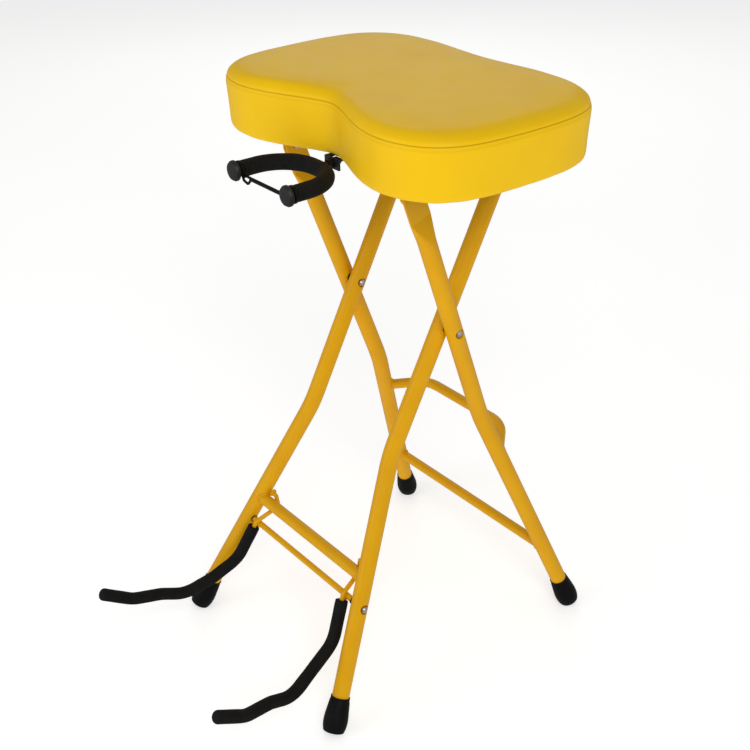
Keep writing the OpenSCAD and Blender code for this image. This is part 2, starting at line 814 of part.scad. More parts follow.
module at_hinge() {
    translate([0, pivot_y + hinge_y, hinge_h]) children();
}

module hinge_bolts() {
    color(steel_c) at_hinge() through_bolts(ear_inner_x, hinge_outer_x);
}

module hinge_nuts() {
    color(steel_c) at_hinge() dome_nuts(ear_inner_x, hinge_outer_x);
}

module hinge_washers() {
    color(white_c) at_hinge() for (side = sides)
        translate([side * (ear_outer_x + film), 0, 0]) facing(side)
            washer(washer_d, bolt_d + 2 * grip, hinge_washer_t - film);
}

// A hooked plastic clip that the front frame's top rail rests against from below
module rail_clip(side) {
    top_z = fitting_z - rail_h;
    color(rubber_c) difference() {
        translate([side * clip_x - clip_w / 2, pivot_y + rail_y, rail_h]) {
            across() rotate([0, 0, clip_from]) rotate_extrude(angle = clip_to - clip_from)
                translate([clip_r, 0]) square([clip_t, clip_w]);
            translate([0, -clip_r / 2, clip_r + clip_t / 2])
                cube([clip_w, clip_r * 1.5 + clip_t, top_z - clip_r - clip_t / 2]);
            translate([0, clip_flange_from, top_z - clip_t])
                cube([clip_w, clip_flange_to - clip_flange_from, clip_t]);
        }
        screw_holes(screw_d + 2 * grip);
    }
}

module fork_bracket() {
    color(paint_c) difference() {
        seat_plane(fitting_z) {
            translate([-bracket_w / 2, -bracket_y, -plate_t]) cube([bracket_w, bracket_l, plate_t]);
            translate([-bracket_w / 2, -bracket_y, -bracket_drop]) cube([bracket_w, plate_t, bracket_drop]);
        }
        seat_plane(seat_h - fork_drop) translate([0, -bracket_y - cut, 0]) rotate([-90, 0, 0])
            cylinder(h = plate_t + 2 * cut, d = stem_d + 2 * run);
        // a window over the nut and washer behind the plate
        seat_plane(fitting_z - 2 * plate_t) translate([-window_w / 2, -bracket_y + plate_t, 0])
            cube([window_w, window_l, 3 * plate_t]);
        screw_holes(screw_d + 2 * grip);
    }
}

module board_screws() {
    color(steel_c) for (p = screw_places) {
        low = p.y > 0 ? clip_t : plate_t;
        translate([p.x, p.y + pivot_y, fitting_z - low]) {
            cylinder(h = low + screw_l, d = screw_d);
            translate([0, 0, -screw_head_h])
                cylinder(h = screw_head_h, d1 = screw_head_d * 0.6, d2 = screw_head_d);
        }
    }
}

// Neck fork, in its own frame: the back of the U at the origin, the arms towards -Y
module at_fork() {
    translate([0, pivot_y - fork_y, seat_h - fork_drop]) children();
}

fork_tip = fork_l + neck_l + cap_t - cap_floor;
function fork_path(l) = [[-fork_w / 2, -l, 0], [-fork_w / 2, 0, 0], [fork_w / 2, 0, 0], [fork_w / 2, -l, 0]];

module fork_rod() {
    color(rubber_c) at_fork() {
        bent_rod(fork_path(fork_tip), [fork_r, fork_r], fork_rod_d);
        rotate([-90, 0, 0]) cylinder(h = stem_l, d = stem_d);
    }
}

module fork_foam() {
    color(foam_c) at_fork() difference() {
        bent_rod(fork_path(fork_l), [fork_r, fork_r], fork_foam_d);
        bent_rod(fork_path(fork_l + cut), [fork_r, fork_r], fork_rod_d + 2 * grip);
        rotate([-90, 0, 0]) cylinder(h = stem_l, d = stem_d + 2 * grip);
    }
}

// A mushroom cap: a neck that carries the strap and a domed head
module fork_cap(side) {
    color(rubber_c) at_fork() translate([side * fork_w / 2, -fork_l, 0]) rotate([90, 0, 0]) difference() {
        rotate_extrude() polygon([
            [0, 0], [fork_foam_d / 2, 0], [fork_foam_d / 2, cut / 2], [neck_d / 2, cut / 2],
            [neck_d / 2, neck_l], [cap_d / 2 - cap_edge, neck_l], [cap_d / 2, neck_l + cap_edge],
            [cap_d / 2, neck_l + cap_t - 2 * cap_edge],
            [cap_d / 2 - cap_edge, neck_l + cap_t - cap_edge / 2],
            [cap_d / 4, neck_l + cap_t], [0, neck_l + cap_t]
        ]);
        translate([0, 0, -cut]) cylinder(h = cut + fork_tip - fork_l + grip, d = fork_rod_d + 2 * grip);
    }
}

module fork_nuts() {
    gap = washer_t + slip;
    color(steel_c) for (p = [[-bracket_y - gap - fork_nut_h], [-bracket_y + plate_t + gap]])
        seat_plane(seat_h - fork_drop) translate([0, p[0], 0]) rotate([-90, 0, 0]) difference() {
            cylinder(h = fork_nut_h, d = fork_nut_af / cos(30), $fn = 6);
            translate([0, 0, -cut]) cylinder(h = fork_nut_h + 2 * cut, d = stem_d + 2 * grip);
        }
}

module fork_washers() {
    color(steel_c) for (p = [[-bracket_y - slip - washer_t], [-bracket_y + plate_t + slip]])
        seat_plane(seat_h - fork_drop) translate([0, p[0], 0]) rotate([-90, 0, 0])
            washer(fork_washer_d, stem_d + 2 * grip, washer_t);
}

// The strap: a ring on the right cap's neck, a bar, a pull eye and a hook over the left neck
module fork_strap() {
    hook_wall = (strap_ring_d - neck_d) / 2 - slip;
    hook_r = neck_d / 2 + slip;
    low = strap_drop + strap_w / 2;
    eye_x = fork_w - strap_ring_d / 2 - strap_eye_w + hook_wall / 2;
    color(rubber_c) at_fork() translate([fork_w / 2, -fork_l - neck_l / 2, 0]) rotate([90, 0, 0]) {
        translate([0, 0, -strap_ring_t / 2]) washer(strap_ring_d, neck_d + 2 * run, strap_ring_t);
        translate([-eye_x, -low, -strap_t / 2]) cube([eye_x - neck_d / 2 - film, strap_w, strap_t]);
        translate([-eye_x, -strap_drop, -strap_t / 2]) linear_extrude(strap_t) difference() {
            polygon([
                [cut, -strap_w / 2], [cut, strap_w / 2], [-strap_eye_w, strap_w / 2],
                [-strap_eye_w, -strap_eye_h + strap_w / 2], [-strap_eye_w * 0.6, -strap_eye_h + strap_w / 2]
            ]);
            polygon([
                [-strap_eye_wall * 1.2, -strap_w / 4],
                [-strap_eye_w + strap_eye_wall * 0.6, strap_w / 2 - strap_eye_wall / 2],
                [-strap_eye_w + strap_eye_wall * 0.6, -strap_eye_h + strap_w / 2 + strap_eye_wall],
                [-strap_eye_w * 0.6, -strap_eye_h + strap_w / 2 + strap_eye_wall]
            ]);
        }
        translate([-fork_w, 0, -strap_ring_t / 2]) {
            rotate_extrude(angle = 180) translate([hook_r, 0]) square([hook_wall, strap_ring_t]);
            translate([hook_r + ridge, -low, ridge])
                cube([hook_wall - 2 * ridge, low + film, strap_ring_t - 2 * ridge]);
            translate([-hook_r - hook_wall + ridge, -strap_lip, ridge])
                cube([hook_wall - 2 * ridge, strap_lip + film, strap_ring_t - 2 * ridge]);
        }
    }
}

// Guitar cradle, measured from its pivot axis
module at_cradle() {
    translate([0, pivot_y + cradle_y, cradle_h]) children();
}

// A tube that the arms are welded to turns on a long bolt through both front legs
link_leg_x = front_leg_x(cradle_s);
link_outer_x = link_leg_x + seat_out;
link_inner_x = link_leg_x - tube_d / 2 / cos(leg_splay) - cradle_washer_d / 2 * tan(leg_splay);
link_half = link_inner_x - cradle_washer_t - slip;

module cradle_link_tube() {
    color(paint_c) at_cradle() translate([-link_half, 0, 0]) facing(right) difference() {
        cylinder(h = 2 * link_half, d = link_d);
        translate([0, 0, -cut]) cylinder(h = 2 * (link_half + cut), d = bolt_d + 2 * run);
    }
}

module cradle_bolt() {
    color(steel_c) at_cradle() translate([-link_outer_x, 0, 0]) facing(left)
        bolt(2 * link_outer_x + lock_nut_h + lock_collar_h + cut / 2);
}

module cradle_washers() {
    color(white_c) at_cradle() for (side = sides) translate([side * link_inner_x, 0, 0]) facing(-side)
        washer(cradle_washer_d, bolt_d + 2 * grip, cradle_washer_t);
}

module cradle_lock_nut() {
    color(steel_c) at_cradle() translate([link_outer_x, 0, 0]) facing(right) difference() {
        cylinder(h = lock_nut_h, d = lock_nut_af / cos(30), $fn = 6);
        translate([0, 0, -cut]) cylinder(h = lock_nut_h + 2 * cut, d = bolt_d + 2 * grip);
    }
    color(rubber_c) at_cradle() translate([link_outer_x + lock_nut_h, 0, 0]) facing(right)
        washer(lock_collar_d, bolt_d + 2 * grip, lock_collar_h);
}

// The arm rod: its hook behind and over the crossbar, a tight turn on the pivot rod where it
// is welded, and the waved arm out to the tip
bar_above = front_bar_s - cradle_s;
hook_elbow = leaned([arm_x - hook_in, hook_back, bar_above - hook_low], -front_lean);
hook_end = leaned([arm_x - hook_top_in, hook_top_back, bar_above + hook_rise], -front_lean);
hook_out = hook_end + hook_tip;
arm_points = [for (s = arm_shares) [arm_x + s.x * arm_spread, s.y * arm_reach, -s.z * -arm_drop]];
weld_r = (link_d + arm_d) / 2;
function hold(v) = asin(weld_r / norm(v));
in_angle = atan2(-hook_elbow.z, -hook_elbow.y) - hold([hook_elbow.y, hook_elbow.z]);
out_angle = atan2(arm_points[0].z, arm_points[0].y) + hold([arm_points[0].y, arm_points[0].z]);
mid_angle = (in_angle + out_angle) / 2 - 90;
weld_reach = weld_r / cos((out_angle - in_angle) / 2);
weld_point = [arm_x, weld_reach * cos(mid_angle), weld_reach * sin(mid_angle)];
arm_path = concat([hook_out, hook_end, hook_elbow, weld_point], arm_points);
arm_radii = concat([hook_tip_r, hook_elbow_r, weld_r], [for (i = [1 : len(arm_points) - 1]) arm_bend_r]);
sleeve_way = unit(arm_points[0] - weld_point);
sleeve_path = concat([weld_point + sleeve_start * sleeve_way], arm_points);
sleeve_radii = [for (i = [1 : len(arm_points) - 1]) arm_bend_r];
last = len(arm_points) - 1;
tip_way = unit(arm_points[last] - arm_points[last - 1]);

function shortened(p, l) =
    [for (i = [0 : len(p) - 1]) i == len(p) - 1 ? p[i] - l * unit(p[i] - p[i - 1]) : p[i]];

module cradle_arm(side) {
    color(paint_c) at_cradle() mirror([side == left ? 1 : 0, 0, 0])
        bent_rod(shortened(arm_path, sleeve_tip), arm_radii, arm_d);
}

module arm_sleeve(side) {
    p = shortened(sleeve_path, sleeve_tip);
    color(foam_c) at_cradle() mirror([side == left ? 1 : 0, 0, 0]) difference() {
        union() {
            bent_rod(sleeve_path, sleeve_radii, sleeve_d);
            aimed(arm_points[last], tip_way) sphere(d = sleeve_d - 2 * ridge);
        }
        bent_rod([for (i = [0 : len(p) - 1]) i == 0 ? p[0] - cut * sleeve_way
            : i == len(p) - 1 ? p[i] + grip * tip_way : p[i]], sleeve_radii, arm_d + 2 * grip);
    }
}

rear_leg(left);  // rear_leg_left
rear_leg(right);  // rear_leg_right
rear_crossbar();
footrest_bar();
rear_foot(left);  // rear_foot_left
rear_foot(right);  // rear_foot_right
scissor_bolts();
scissor_washers();
scissor_nuts();
front_leg(left);  // front_leg_left
front_leg(right);  // front_leg_right
front_crossbar();
front_top_rail();
front_leg_plugs();
front_foot(left);  // front_foot_left
front_foot(right);  // front_foot_right
seat_cover();
seat_foam();
seat_board();
dust_cover();
seat_ear(left);  // seat_ear_left
seat_ear(right);  // seat_ear_right
hinge_bolts();
hinge_washers();
hinge_nuts();
rail_clip(left);  // rail_clip_left
rail_clip(right);  // rail_clip_right
fork_bracket();
board_screws();
cover_staples();
fork_rod();
fork_foam();
fork_cap(left);  // fork_cap_left
fork_cap(right);  // fork_cap_right
fork_nuts();
fork_washers();
fork_strap();
cradle_bolt();
cradle_washers();
cradle_lock_nut();
cradle_link_tube();
cradle_arm(left);  // cradle_arm_left
cradle_arm(right);  // cradle_arm_right
arm_sleeve(left);  // arm_sleeve_left
arm_sleeve(right);  // arm_sleeve_right
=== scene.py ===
"""Looks of the folding guitar stool: soft pieces, welds, finishes, studio and camera.

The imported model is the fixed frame. Every length below is in millimetres of the
stool unless its name says otherwise, and `mm` turns it into Blender's metres.
"""

import json
import logging
import math
from dataclasses import dataclass
from enum import Enum
from typing import Any, Callable, Sequence

import bpy
import numpy as np
from mathutils import Matrix, Vector, noise

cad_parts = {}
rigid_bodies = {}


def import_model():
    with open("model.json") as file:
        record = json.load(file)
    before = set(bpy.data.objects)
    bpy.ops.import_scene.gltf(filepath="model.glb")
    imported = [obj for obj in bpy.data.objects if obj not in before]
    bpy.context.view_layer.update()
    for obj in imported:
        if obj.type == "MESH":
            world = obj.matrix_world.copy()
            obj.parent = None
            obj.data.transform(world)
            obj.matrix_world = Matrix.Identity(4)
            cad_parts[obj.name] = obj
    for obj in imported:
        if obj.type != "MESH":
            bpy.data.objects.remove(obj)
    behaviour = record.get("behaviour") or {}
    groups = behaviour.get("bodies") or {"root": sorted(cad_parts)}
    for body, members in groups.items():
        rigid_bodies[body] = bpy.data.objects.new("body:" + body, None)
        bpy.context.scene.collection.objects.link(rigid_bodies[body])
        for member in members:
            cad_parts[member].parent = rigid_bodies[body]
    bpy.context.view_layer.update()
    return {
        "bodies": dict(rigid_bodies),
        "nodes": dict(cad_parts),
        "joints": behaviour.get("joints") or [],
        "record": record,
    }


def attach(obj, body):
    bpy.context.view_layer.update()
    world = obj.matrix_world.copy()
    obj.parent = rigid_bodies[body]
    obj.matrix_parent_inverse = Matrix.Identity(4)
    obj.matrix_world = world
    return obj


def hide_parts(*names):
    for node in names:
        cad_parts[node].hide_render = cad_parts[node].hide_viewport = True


LOG = logging.getLogger("guitar_stool")

Points = np.ndarray
Obj = bpy.types.Object
Tree = bpy.types.NodeTree
Socket = bpy.types.NodeSocket

MILLI = 0.001  # metres in a millimetre
PER_METRE = 1000  # millimetres in a metre
LEAST_TURN = 1e-4  # bends below this many radians are left out
SAME_PLACE = 1e-9  # points closer than this are one


def mm(length: float) -> float:
    """Returns a length in millimetres as metres."""
    return length * MILLI


def linear(code: str) -> tuple[float, float, float, float]:
    """Turns an sRGB hex colour into Blender's linear colour.

    Args:
        code: The colour as "#RRGGBB".

    Returns:
        Linear red, green, blue and an alpha of 1.
    """
    parts = [int(code[i : i + 2], 16) / 255 for i in (1, 3, 5)]
    r, g, b = (c / 12.92 if c <= 0.04045 else ((c + 0.055) / 1.055) ** 2.4 for c in parts)
    return r, g, b, 1.0


def darker(code: str, share: float) -> str:
    """Darkens a colour.

    Args:
        code: The colour as "#RRGGBB".
        share: The share that each channel keeps.

    Returns:
        The darker colour.
    """
    return "#" + "".join(f"{int(int(code[i : i + 2], 16) * share):02X}" for i in (1, 3, 5))


def unit(v: Points) -> Points:
    """Returns a vector, or each row of an array of vectors, at length 1."""
    return v / np.linalg.norm(v, axis=-1, keepdims=True)


def waver(*place: float) -> float:
    """Returns a smooth random number from -1 to 1 that depends on three numbers."""
    return noise.noise(Vector(place))


def circle(count: int) -> Points:
    """Returns a number of even angles round a full turn, in radians."""
    return np.linspace(0, 2 * math.pi, count, endpoint=False)


class Body(Enum):
    """The moving bodies of the stool."""

    REAR_FRAME = "rear_frame"
    FRONT_FRAME = "front_frame"
    SEAT = "seat"
    NECK_FORK = "neck_fork"
    FORK_STRAP = "fork_strap"
    CRADLE = "guitar_cradle"


class Side(Enum):
    """The stool's two sides, as signs along X."""

    LEFT = -1
    RIGHT = 1


# Meshes


def mesh_piece(name: str, points: Points, faces: Sequence[Sequence[int]]) -> Obj:
    """Makes a smooth mesh object from points in millimetres.

    Args:
        name: The piece's name.
        points: Places of the corners, in millimetres of the stool.
        faces: Corner numbers of each face.

    Returns:
        The new object, linked to the scene.
    """
    mesh = bpy.data.meshes.new(name)
    mesh.from_pydata([tuple(p) for p in np.asarray(points, float) * MILLI], [], [list(f) for f in faces])
    mesh.validate()
    mesh.update()
    mesh.shade_smooth()
    piece = bpy.data.objects.new(name, mesh)
    bpy.context.scene.collection.objects.link(piece)
    return piece


class MeshParts:
    """Gathers rings and caps of several forms into one mesh."""

    def __init__(self) -> None:
        """Starts with no points and no faces."""
        self.points: list[Points] = []
        self.faces: list[tuple[int, ...]] = []
        self.count = 0

    def add(self, points: Points, faces: Sequence[Sequence[int]]) -> None:
        """Adds points and the faces that join them.

        Args:
            points: Places of the new corners, in millimetres.
            faces: Corner numbers that count from the first new corner.
        """
        self.points.append(np.asarray(points, float))
        self.faces += [tuple(i + self.count for i in f) for f in faces]
        self.count += len(points)

    def piece(self, name: str) -> Obj:
        """Returns all that was added as one object with this name."""
        return mesh_piece(name, np.vstack(self.points), self.faces)


def tube_faces(rings: int, sides: int, closed: bool, capped: bool = True) -> list[tuple[int, ...]]:
    """Joins a row of rings into a skin.

    Args:
        rings: Number of rings.
        sides: Corners of each ring.
        closed: Whether the last ring joins the first.
        capped: Whether an open row's two ends are closed with a face.

    Returns:
        The faces' corner numbers.
    """
    out: list[tuple[int, ...]] = []
    for j in range(rings if closed else rings - 1):
        a, b = j * sides, (j + 1) % rings * sides
        out += [(a + k, a + (k + 1) % sides, b + (k + 1) % sides, b + k) for k in range(sides)]
    if capped and not closed:
        out.append(tuple(range(sides))[::-1])
        out.append(tuple((rings - 1) * sides + k for k in range(sides)))
    return out


def bent_route(corners: Sequence[Sequence[float]], radii: Sequence[float], step: float) -> Points:
    """Runs a line through corners with a round bend at each inner one.

    Args:
        corners: The line's corners.
        radii: Bend radius of each inner corner.
        step: Distance between neighbouring points of the result.

    Returns:
        Points along the line, from its first corner to its last.
    """
    p = np.asarray(corners, float)
    out = [p[:1]]
    for i in range(1, len(p) - 1):
        into, away = unit(p[i] - p[i - 1]), unit(p[i + 1] - p[i])
        turn = math.acos(float(np.clip(into @ away, -1, 1)))
        if turn < LEAST_TURN:
            continue
        radius = radii[i - 1]
        inward = unit(away - (away @ into) * into)
        centre = p[i] - radius * math.tan(turn / 2) * into + radius * inward
        angles = np.linspace(0, turn, max(3, int(radius * turn / step) + 1))
        out.append(centre + radius * (np.outer(np.sin(angles), into) - np.outer(np.cos(angles), inward)))
    out.append(p[-1:])
    return respaced(np.vstack(out), step)


def respaced(line: Points, step: float, closed: bool = False) -> Points:
    """Spaces points evenly along a line.

    Args:
        line: Points along the line.
        step: The wanted distance between points.
        closed: Whether the line runs back to its first point.

    Returns:
        The evenly spaced points.
    """
    p = np.vstack([line, line[:1]]) if closed else line
    lengths = np.linalg.norm(np.diff(p, axis=0), axis=1)
    p = p[np.concatenate([[True], lengths > SAME_PLACE])]
    along = np.concatenate([[0], np.cumsum(np.linalg.norm(np.diff(p, axis=0), axis=1))])
    count = max(4, int(round(along[-1] / step)) + 1)
    at = np.linspace(0, along[-1], count)
    out = np.column_stack([np.interp(at, along, p[:, k]) for k in range(p.shape[1])])
    return out[:-1] if closed else out


def carried_frames(line: Points, closed: bool, first: Points | None) -> tuple[Points, Points]:
    """Carries a pair of cross directions along a line without twist.

    Args:
        line: Points along the line.
        closed: Whether the line is a loop.
        first: A direction that the first cross direction starts close to, if not straight up.

    Returns:
        The two cross directions at each point.
    """
    if closed:
        ways = unit(np.roll(line, -1, axis=0) - np.roll(line, 1, axis=0))
    else:
        ways = unit(np.gradient(line, axis=0))
    start = np.array([0.0, 0.0, 1.0]) if first is None else np.asarray(first, float)
    if abs(ways[0] @ unit(start)) > 0.95:
        start = np.array([1.0, 0.0, 0.0])
    u = unit(start - (start @ ways[0]) * ways[0])
    us = []
    for way in ways:
        u = unit(u - (u @ way) * way)
        us.append(u)
    return np.array(us), np.cross(ways, np.array(us))


def swept(
    line: Points,
    section: Callable[[int, Points], Points],
    sides: int,
    closed: bool = False,
    first: Points | None = None,
) -> tuple[Points, list[tuple[int, ...]]]:
    """Sweeps a section along a line.

    Args:
        line: Points along the line.
        section: Gives the section's (u, v) points for a ring number and the ring's angles.
        sides: Corners of each ring.
        closed: Whether the line is a loop.
        first: A direction that the section's u axis starts close to.

    Returns:
        The points and faces of the skin.
    """
    us, vs = carried_frames(line, closed, first)
    angles = np.arange(sides) * 2 * math.pi / sides
    rings = []
    for i, p in enumerate(line):
        uv = section(i, angles)
        rings.append(p + uv[:, :1] * us[i] + uv[:, 1:] * vs[i])
    return np.vstack(rings), tube_faces(len(line), sides, closed)


def round_section(radii: Points) -> Callable[[int, Points], Points]:
    """Makes a circle the section.

    Args:
        radii: The circle's radius at each ring.

    Returns:
        The section for `swept`.
    """
    return lambda i, a: radii[i] * np.column_stack([np.cos(a), np.sin(a)])


def flat_section(width: float, height: float, power: float = 5.0) -> Callable[[int, Points], Points]:
    """Makes a rounded rectangle the section.

    Args:
        width: Size along the section's first axis.
        height: Size along its second axis.
        power: How square the corners are, from 2, an ellipse.

    Returns:
        The section for `swept`.
    """

    def at(_: int, a: Points) -> Points:
        """Returns the (u, v) points of a ring."""
        c, s = np.cos(a), np.sin(a)
        return np.column_stack([
            width / 2 * np.sign(c) * np.abs(c) ** (2 / power),
            height / 2 * np.sign(s) * np.abs(s) ** (2 / power),
        ])

    return at


def capped_rod(line: Points, radius: float, edge: float) -> tuple[Points, Points]:
    """Adds the rings of rounded ends to a rod's line.

    Args:
        line: Evenly spaced points along the rod.
        radius: The rod's radius.
        edge: Radius of the rounded edge at its two ends.

    Returns:
        The line with its end rings, and the radius at each.
    """
    angles = np.radians([0, 25, 50, 72, 90])
    clear = 1.3 * edge  # rings closer than this to an end make way for the edge's own
    away = [np.linalg.norm(line - line[i], axis=1) > clear for i in (0, -1)]
    keep = [i for i in range(1, len(line) - 1) if away[0][i] and away[1][i]]
    start = [line[0] + edge * (1 - math.sin(t)) * unit(line[1] - line[0]) for t in angles]
    end = [line[-1] - edge * (1 - math.sin(t)) * unit(line[-1] - line[-2]) for t in angles]
    edge_r = [radius - edge * (1 - math.cos(t)) for t in angles]
    return np.vstack([start[::-1], line[keep], end]), np.array(edge_r[::-1] + [radius] * len(keep) + edge_r)


def subdivide(piece: Obj) -> None:
    """Divides a piece's faces once more and keeps the smoother result as its mesh.

    Args:
        piece: The piece.
    """
    piece.modifiers.new("Smooth", "SUBSURF").levels = 1
    bpy.context.view_layer.update()
    shown = piece.evaluated_get(bpy.context.evaluated_depsgraph_get())
    mesh = bpy.data.meshes.new_from_object(shown)
    piece.modifiers.clear()
    old = piece.data
    piece.data = mesh
    bpy.data.meshes.remove(old)


# Shader nodes


def add_node(
    tree: Tree, kind: str, settings: dict[str, Any] | None = None, inputs: dict[Any, Any] | None = None
) -> bpy.types.Node:
    """Adds a node with its settings, values and links.

    Args:
        tree: The material's nodes.
        kind: The node's type.
        settings: The node's own properties.
        inputs: For each socket, a value to set or an output to link.

    Returns:
        The new node.
    """
    node = tree.nodes.new(kind)
    for key, value in (settings or {}).items():
        setattr(node, key, value)
    for key, value in (inputs or {}).items():
        if isinstance(value, Socket):
            tree.links.new(value, node.inputs[key])
        else:
            node.inputs[key].default_value = value
    return node


@dataclass(frozen=True)
class Graph:
    """The nodes of one material. Sizes and depths are in millimetres."""

    tree: Tree
    place: Socket

    def noise(
        self, size: float, detail: float = 2.0, rough: float = 0.5, place: Socket | None = None
    ) -> Socket:
        """Adds a cloudy noise.

        Args:
            size: The width of one cloud.
            detail: How many finer layers it has.
            rough: How strong those are.
            place: Where the noise is read, if not at the surface point.

        Returns:
            The noise, around 0.5.
        """
        at = self.place if place is None else place
        inputs = {"Vector": at, "Scale": 1 / mm(size), "Detail": detail, "Roughness": rough}
        return add_node(self.tree, "ShaderNodeTexNoise", None, inputs).outputs["Fac"]

    def cells(self, size: float, feature: str = "F1", more: dict[str, float] | None = None) -> Socket:
        """Adds round cells.

        Args:
            size: The width of one cell.
            feature: The kind of distance.
            more: Other values of the texture.

        Returns:
            The distance from the middle of a cell.
        """
        inputs = {"Vector": self.place, "Scale": 1 / mm(size), **(more or {})}
        return add_node(self.tree, "ShaderNodeTexVoronoi", {"feature": feature}, inputs).outputs["Distance"]

    def height(self) -> Socket:
        """Returns the surface point's height in metres."""
        return add_node(self.tree, "ShaderNodeSeparateXYZ", None, {0: self.place}).outputs["Z"]

    def maths(self, operation: str, *values: Socket | float) -> Socket:
        """Adds a sum.

        Args:
            operation: The kind of sum.
            values: What it works on.

        Returns:
            The result.
        """
        node = add_node(self.tree, "ShaderNodeMath", {"operation": operation}, dict(enumerate(values)))
        return node.outputs[0]

    def spread(self, value: Socket, low: float, high: float, start: float = 0.0, end: float = 1.0) -> Socket:
        """Maps a value evenly, held at both ends.

        Args:
            value: The value.
            low: The result at the start.
            high: The result at the end.
            start: The value where the mapping starts.
            end: The value where it ends.

        Returns:
            The mapped value.
        """
        inputs = {"Value": value, "From Min": start, "From Max": end, "To Min": low, "To Max": high}
        return add_node(self.tree, "ShaderNodeMapRange", {"clamp": True}, inputs).outputs["Result"]

    def mixed(self, share: Socket, one: str | Socket, other: str | Socket) -> Socket:
        """Mixes two colours.

        Args:
            share: 0 for the first colour, 1 for the second.
            one: The first colour.
            other: The second colour.

        Returns:
            The mixed colour.
        """
        a, b = (linear(c) if isinstance(c, str) else c for c in (one, other))
        return add_node(self.tree, "ShaderNodeMix", {"data_type": "RGBA"}, {0: share, 6: a, 7: b}).outputs[2]

    def bumped(self, height: Socket, depth: float, strength: float, under: Socket | None = None) -> Socket:
        """Turns a height into a bent normal.

        Args:
            height: The height, 0 to 1.
            depth: What a height of 1 stands for.
            strength: How much of the bump shows.
            under: A normal that is already bent.

        Returns:
            The normal.
        """
        inputs: dict[str, Any] = {"Height": height, "Distance": mm(depth), "Strength": strength}
        if under is not None:
            inputs["Normal"] = under
        return add_node(self.tree, "ShaderNodeBump", None, inputs).outputs["Normal"]

    def principled(self, colour: Socket, gloss: Socket | float, more: dict[str, Any]) -> bpy.types.Node:
        """Adds the shader itself.

        Args:
            colour: Its base colour.
            gloss: Its roughness.
            more: Its other inputs.

        Returns:
            The shader.
        """
        inputs = {"Base Color": colour, "Roughness": gloss, **more}
        return add_node(self.tree, "ShaderNodeBsdfPrincipled", None, inputs)


@dataclass(frozen=True)
class Finish:
    """A material, named for what the real one is. Widths and depths are in millimetres."""

    name: str
    colour: str

    def surface(self, g: Graph) -> bpy.types.Node:
        """Builds the finish's nodes.

        Args:
            g: The material's nodes.

        Returns:
            The shader.
        """
        raise NotImplementedError

    def material(self) -> bpy.types.Material:
        """Returns the finish's material, made once."""
        if self.name in bpy.data.materials:
            return bpy.data.materials[self.name]
        made = bpy.data.materials.new(self.name)
        made.use_nodes = True
        tree = made.node_tree
        tree.nodes.clear()
        place = add_node(tree, "ShaderNodeTexCoord").outputs["Object"]
        shader = self.surface(Graph(tree, place))
        add_node(tree, "ShaderNodeOutputMaterial", None, {"Surface": shader.outputs[0]})
        made.diffuse_color = linear(self.colour)
        return made

    def dress(self, *pieces: Obj) -> None:
        """Gives pieces this finish as their only material.

        Args:
            pieces: The pieces or nodes.
        """
        made = self.material()
        for piece in pieces:
            slots = piece.data.materials
            if len(slots) == 0:
                slots.append(made)
            for i in range(len(slots)):
                slots[i] = made


@dataclass(frozen=True)
class PowderCoatedSteel(Finish):
    """Steel tube with baked powder coating: satin, with a fine orange peel."""

    deeper: str = "#D89A03"
    cloud: float = 45.0  # width of one patch of the deeper colour
    gloss_cloud: float = 18.0
    gloss: tuple[float, float] = (0.28, 0.36)
    peel: float = 3.2  # width of one dimple of the orange peel; the real 1 mm is too fine to show
    peel_depth: float = 0.05

    def surface(self, g: Graph) -> bpy.types.Node:
        """Builds the coat. See Finish.surface for Args and Returns."""
        colour = g.mixed(g.spread(g.noise(self.cloud, 3), 0.0, 0.55, 0.35, 0.75), self.colour, self.deeper)
        gloss = g.spread(g.noise(self.gloss_cloud, 3), *self.gloss, 0.3, 0.7)
        normal = g.bumped(g.noise(self.peel, 1), self.peel_depth, 0.5)
        return g.principled(colour, gloss, {"Normal": normal, "IOR": 1.5, "Specular IOR Level": 0.17})


@dataclass(frozen=True)
class PaddedVinyl(Finish):
    """Vinyl upholstery cloth: a soft sheen over a fine pressed leather grain."""

    shade: str = "#EEBA0A"
    # the colour of the painted shade in the seam's groove and along the folded cloth's edge below it
    line: str = "#8A6408"
    cloud: float = 70.0  # width of one patch of the deeper shade
    gloss_cloud: float = 30.0
    gloss: tuple[float, float] = (0.42, 0.48)
    grain: float = 2.4  # width of one pebble; the real 0.8 mm is too fine to show
    dent: float = 26.0  # width of one soft dent of the foam behind
    depth: float = 0.06  # of the pebbles, and of the dents
    seam: float = 740.8  # height of the seam round the top panel
    fold_drop: float = 4.2  # how far below the seam the cloth folded behind it ends

    def surface(self, g: Graph) -> bpy.types.Node:
        """Builds the vinyl. See Finish.surface for Args and Returns."""
        colour = g.mixed(g.spread(g.noise(self.cloud, 2), 0.0, 0.5, 0.35, 0.75), self.colour, self.shade)
        height = g.height()
        # painted shade in the groove of the sewn seam, and below it fainter painted shade along the edge of
        # the cloth folded behind it
        for level, strength, wide in ((self.seam, 0.5, 0.9), (self.seam - self.fold_drop, 0.1, 1.5)):
            away = g.maths("ABSOLUTE", g.maths("SUBTRACT", height, mm(level)))
            colour = g.mixed(g.spread(away, strength, 0.0, mm(0.25), mm(wide)), colour, self.line)
        normal = g.bumped(g.cells(self.grain, "SMOOTH_F1", {"Smoothness": 0.6}), self.depth, 0.35)
        normal = g.bumped(g.noise(self.dent, 2), self.depth, 0.4, normal)
        gloss = g.spread(g.noise(self.gloss_cloud, 3), *self.gloss, 0.3, 0.7)
        return g.principled(colour, gloss, {"Normal": normal, "IOR": 1.5, "Specular IOR Level": 0.12})


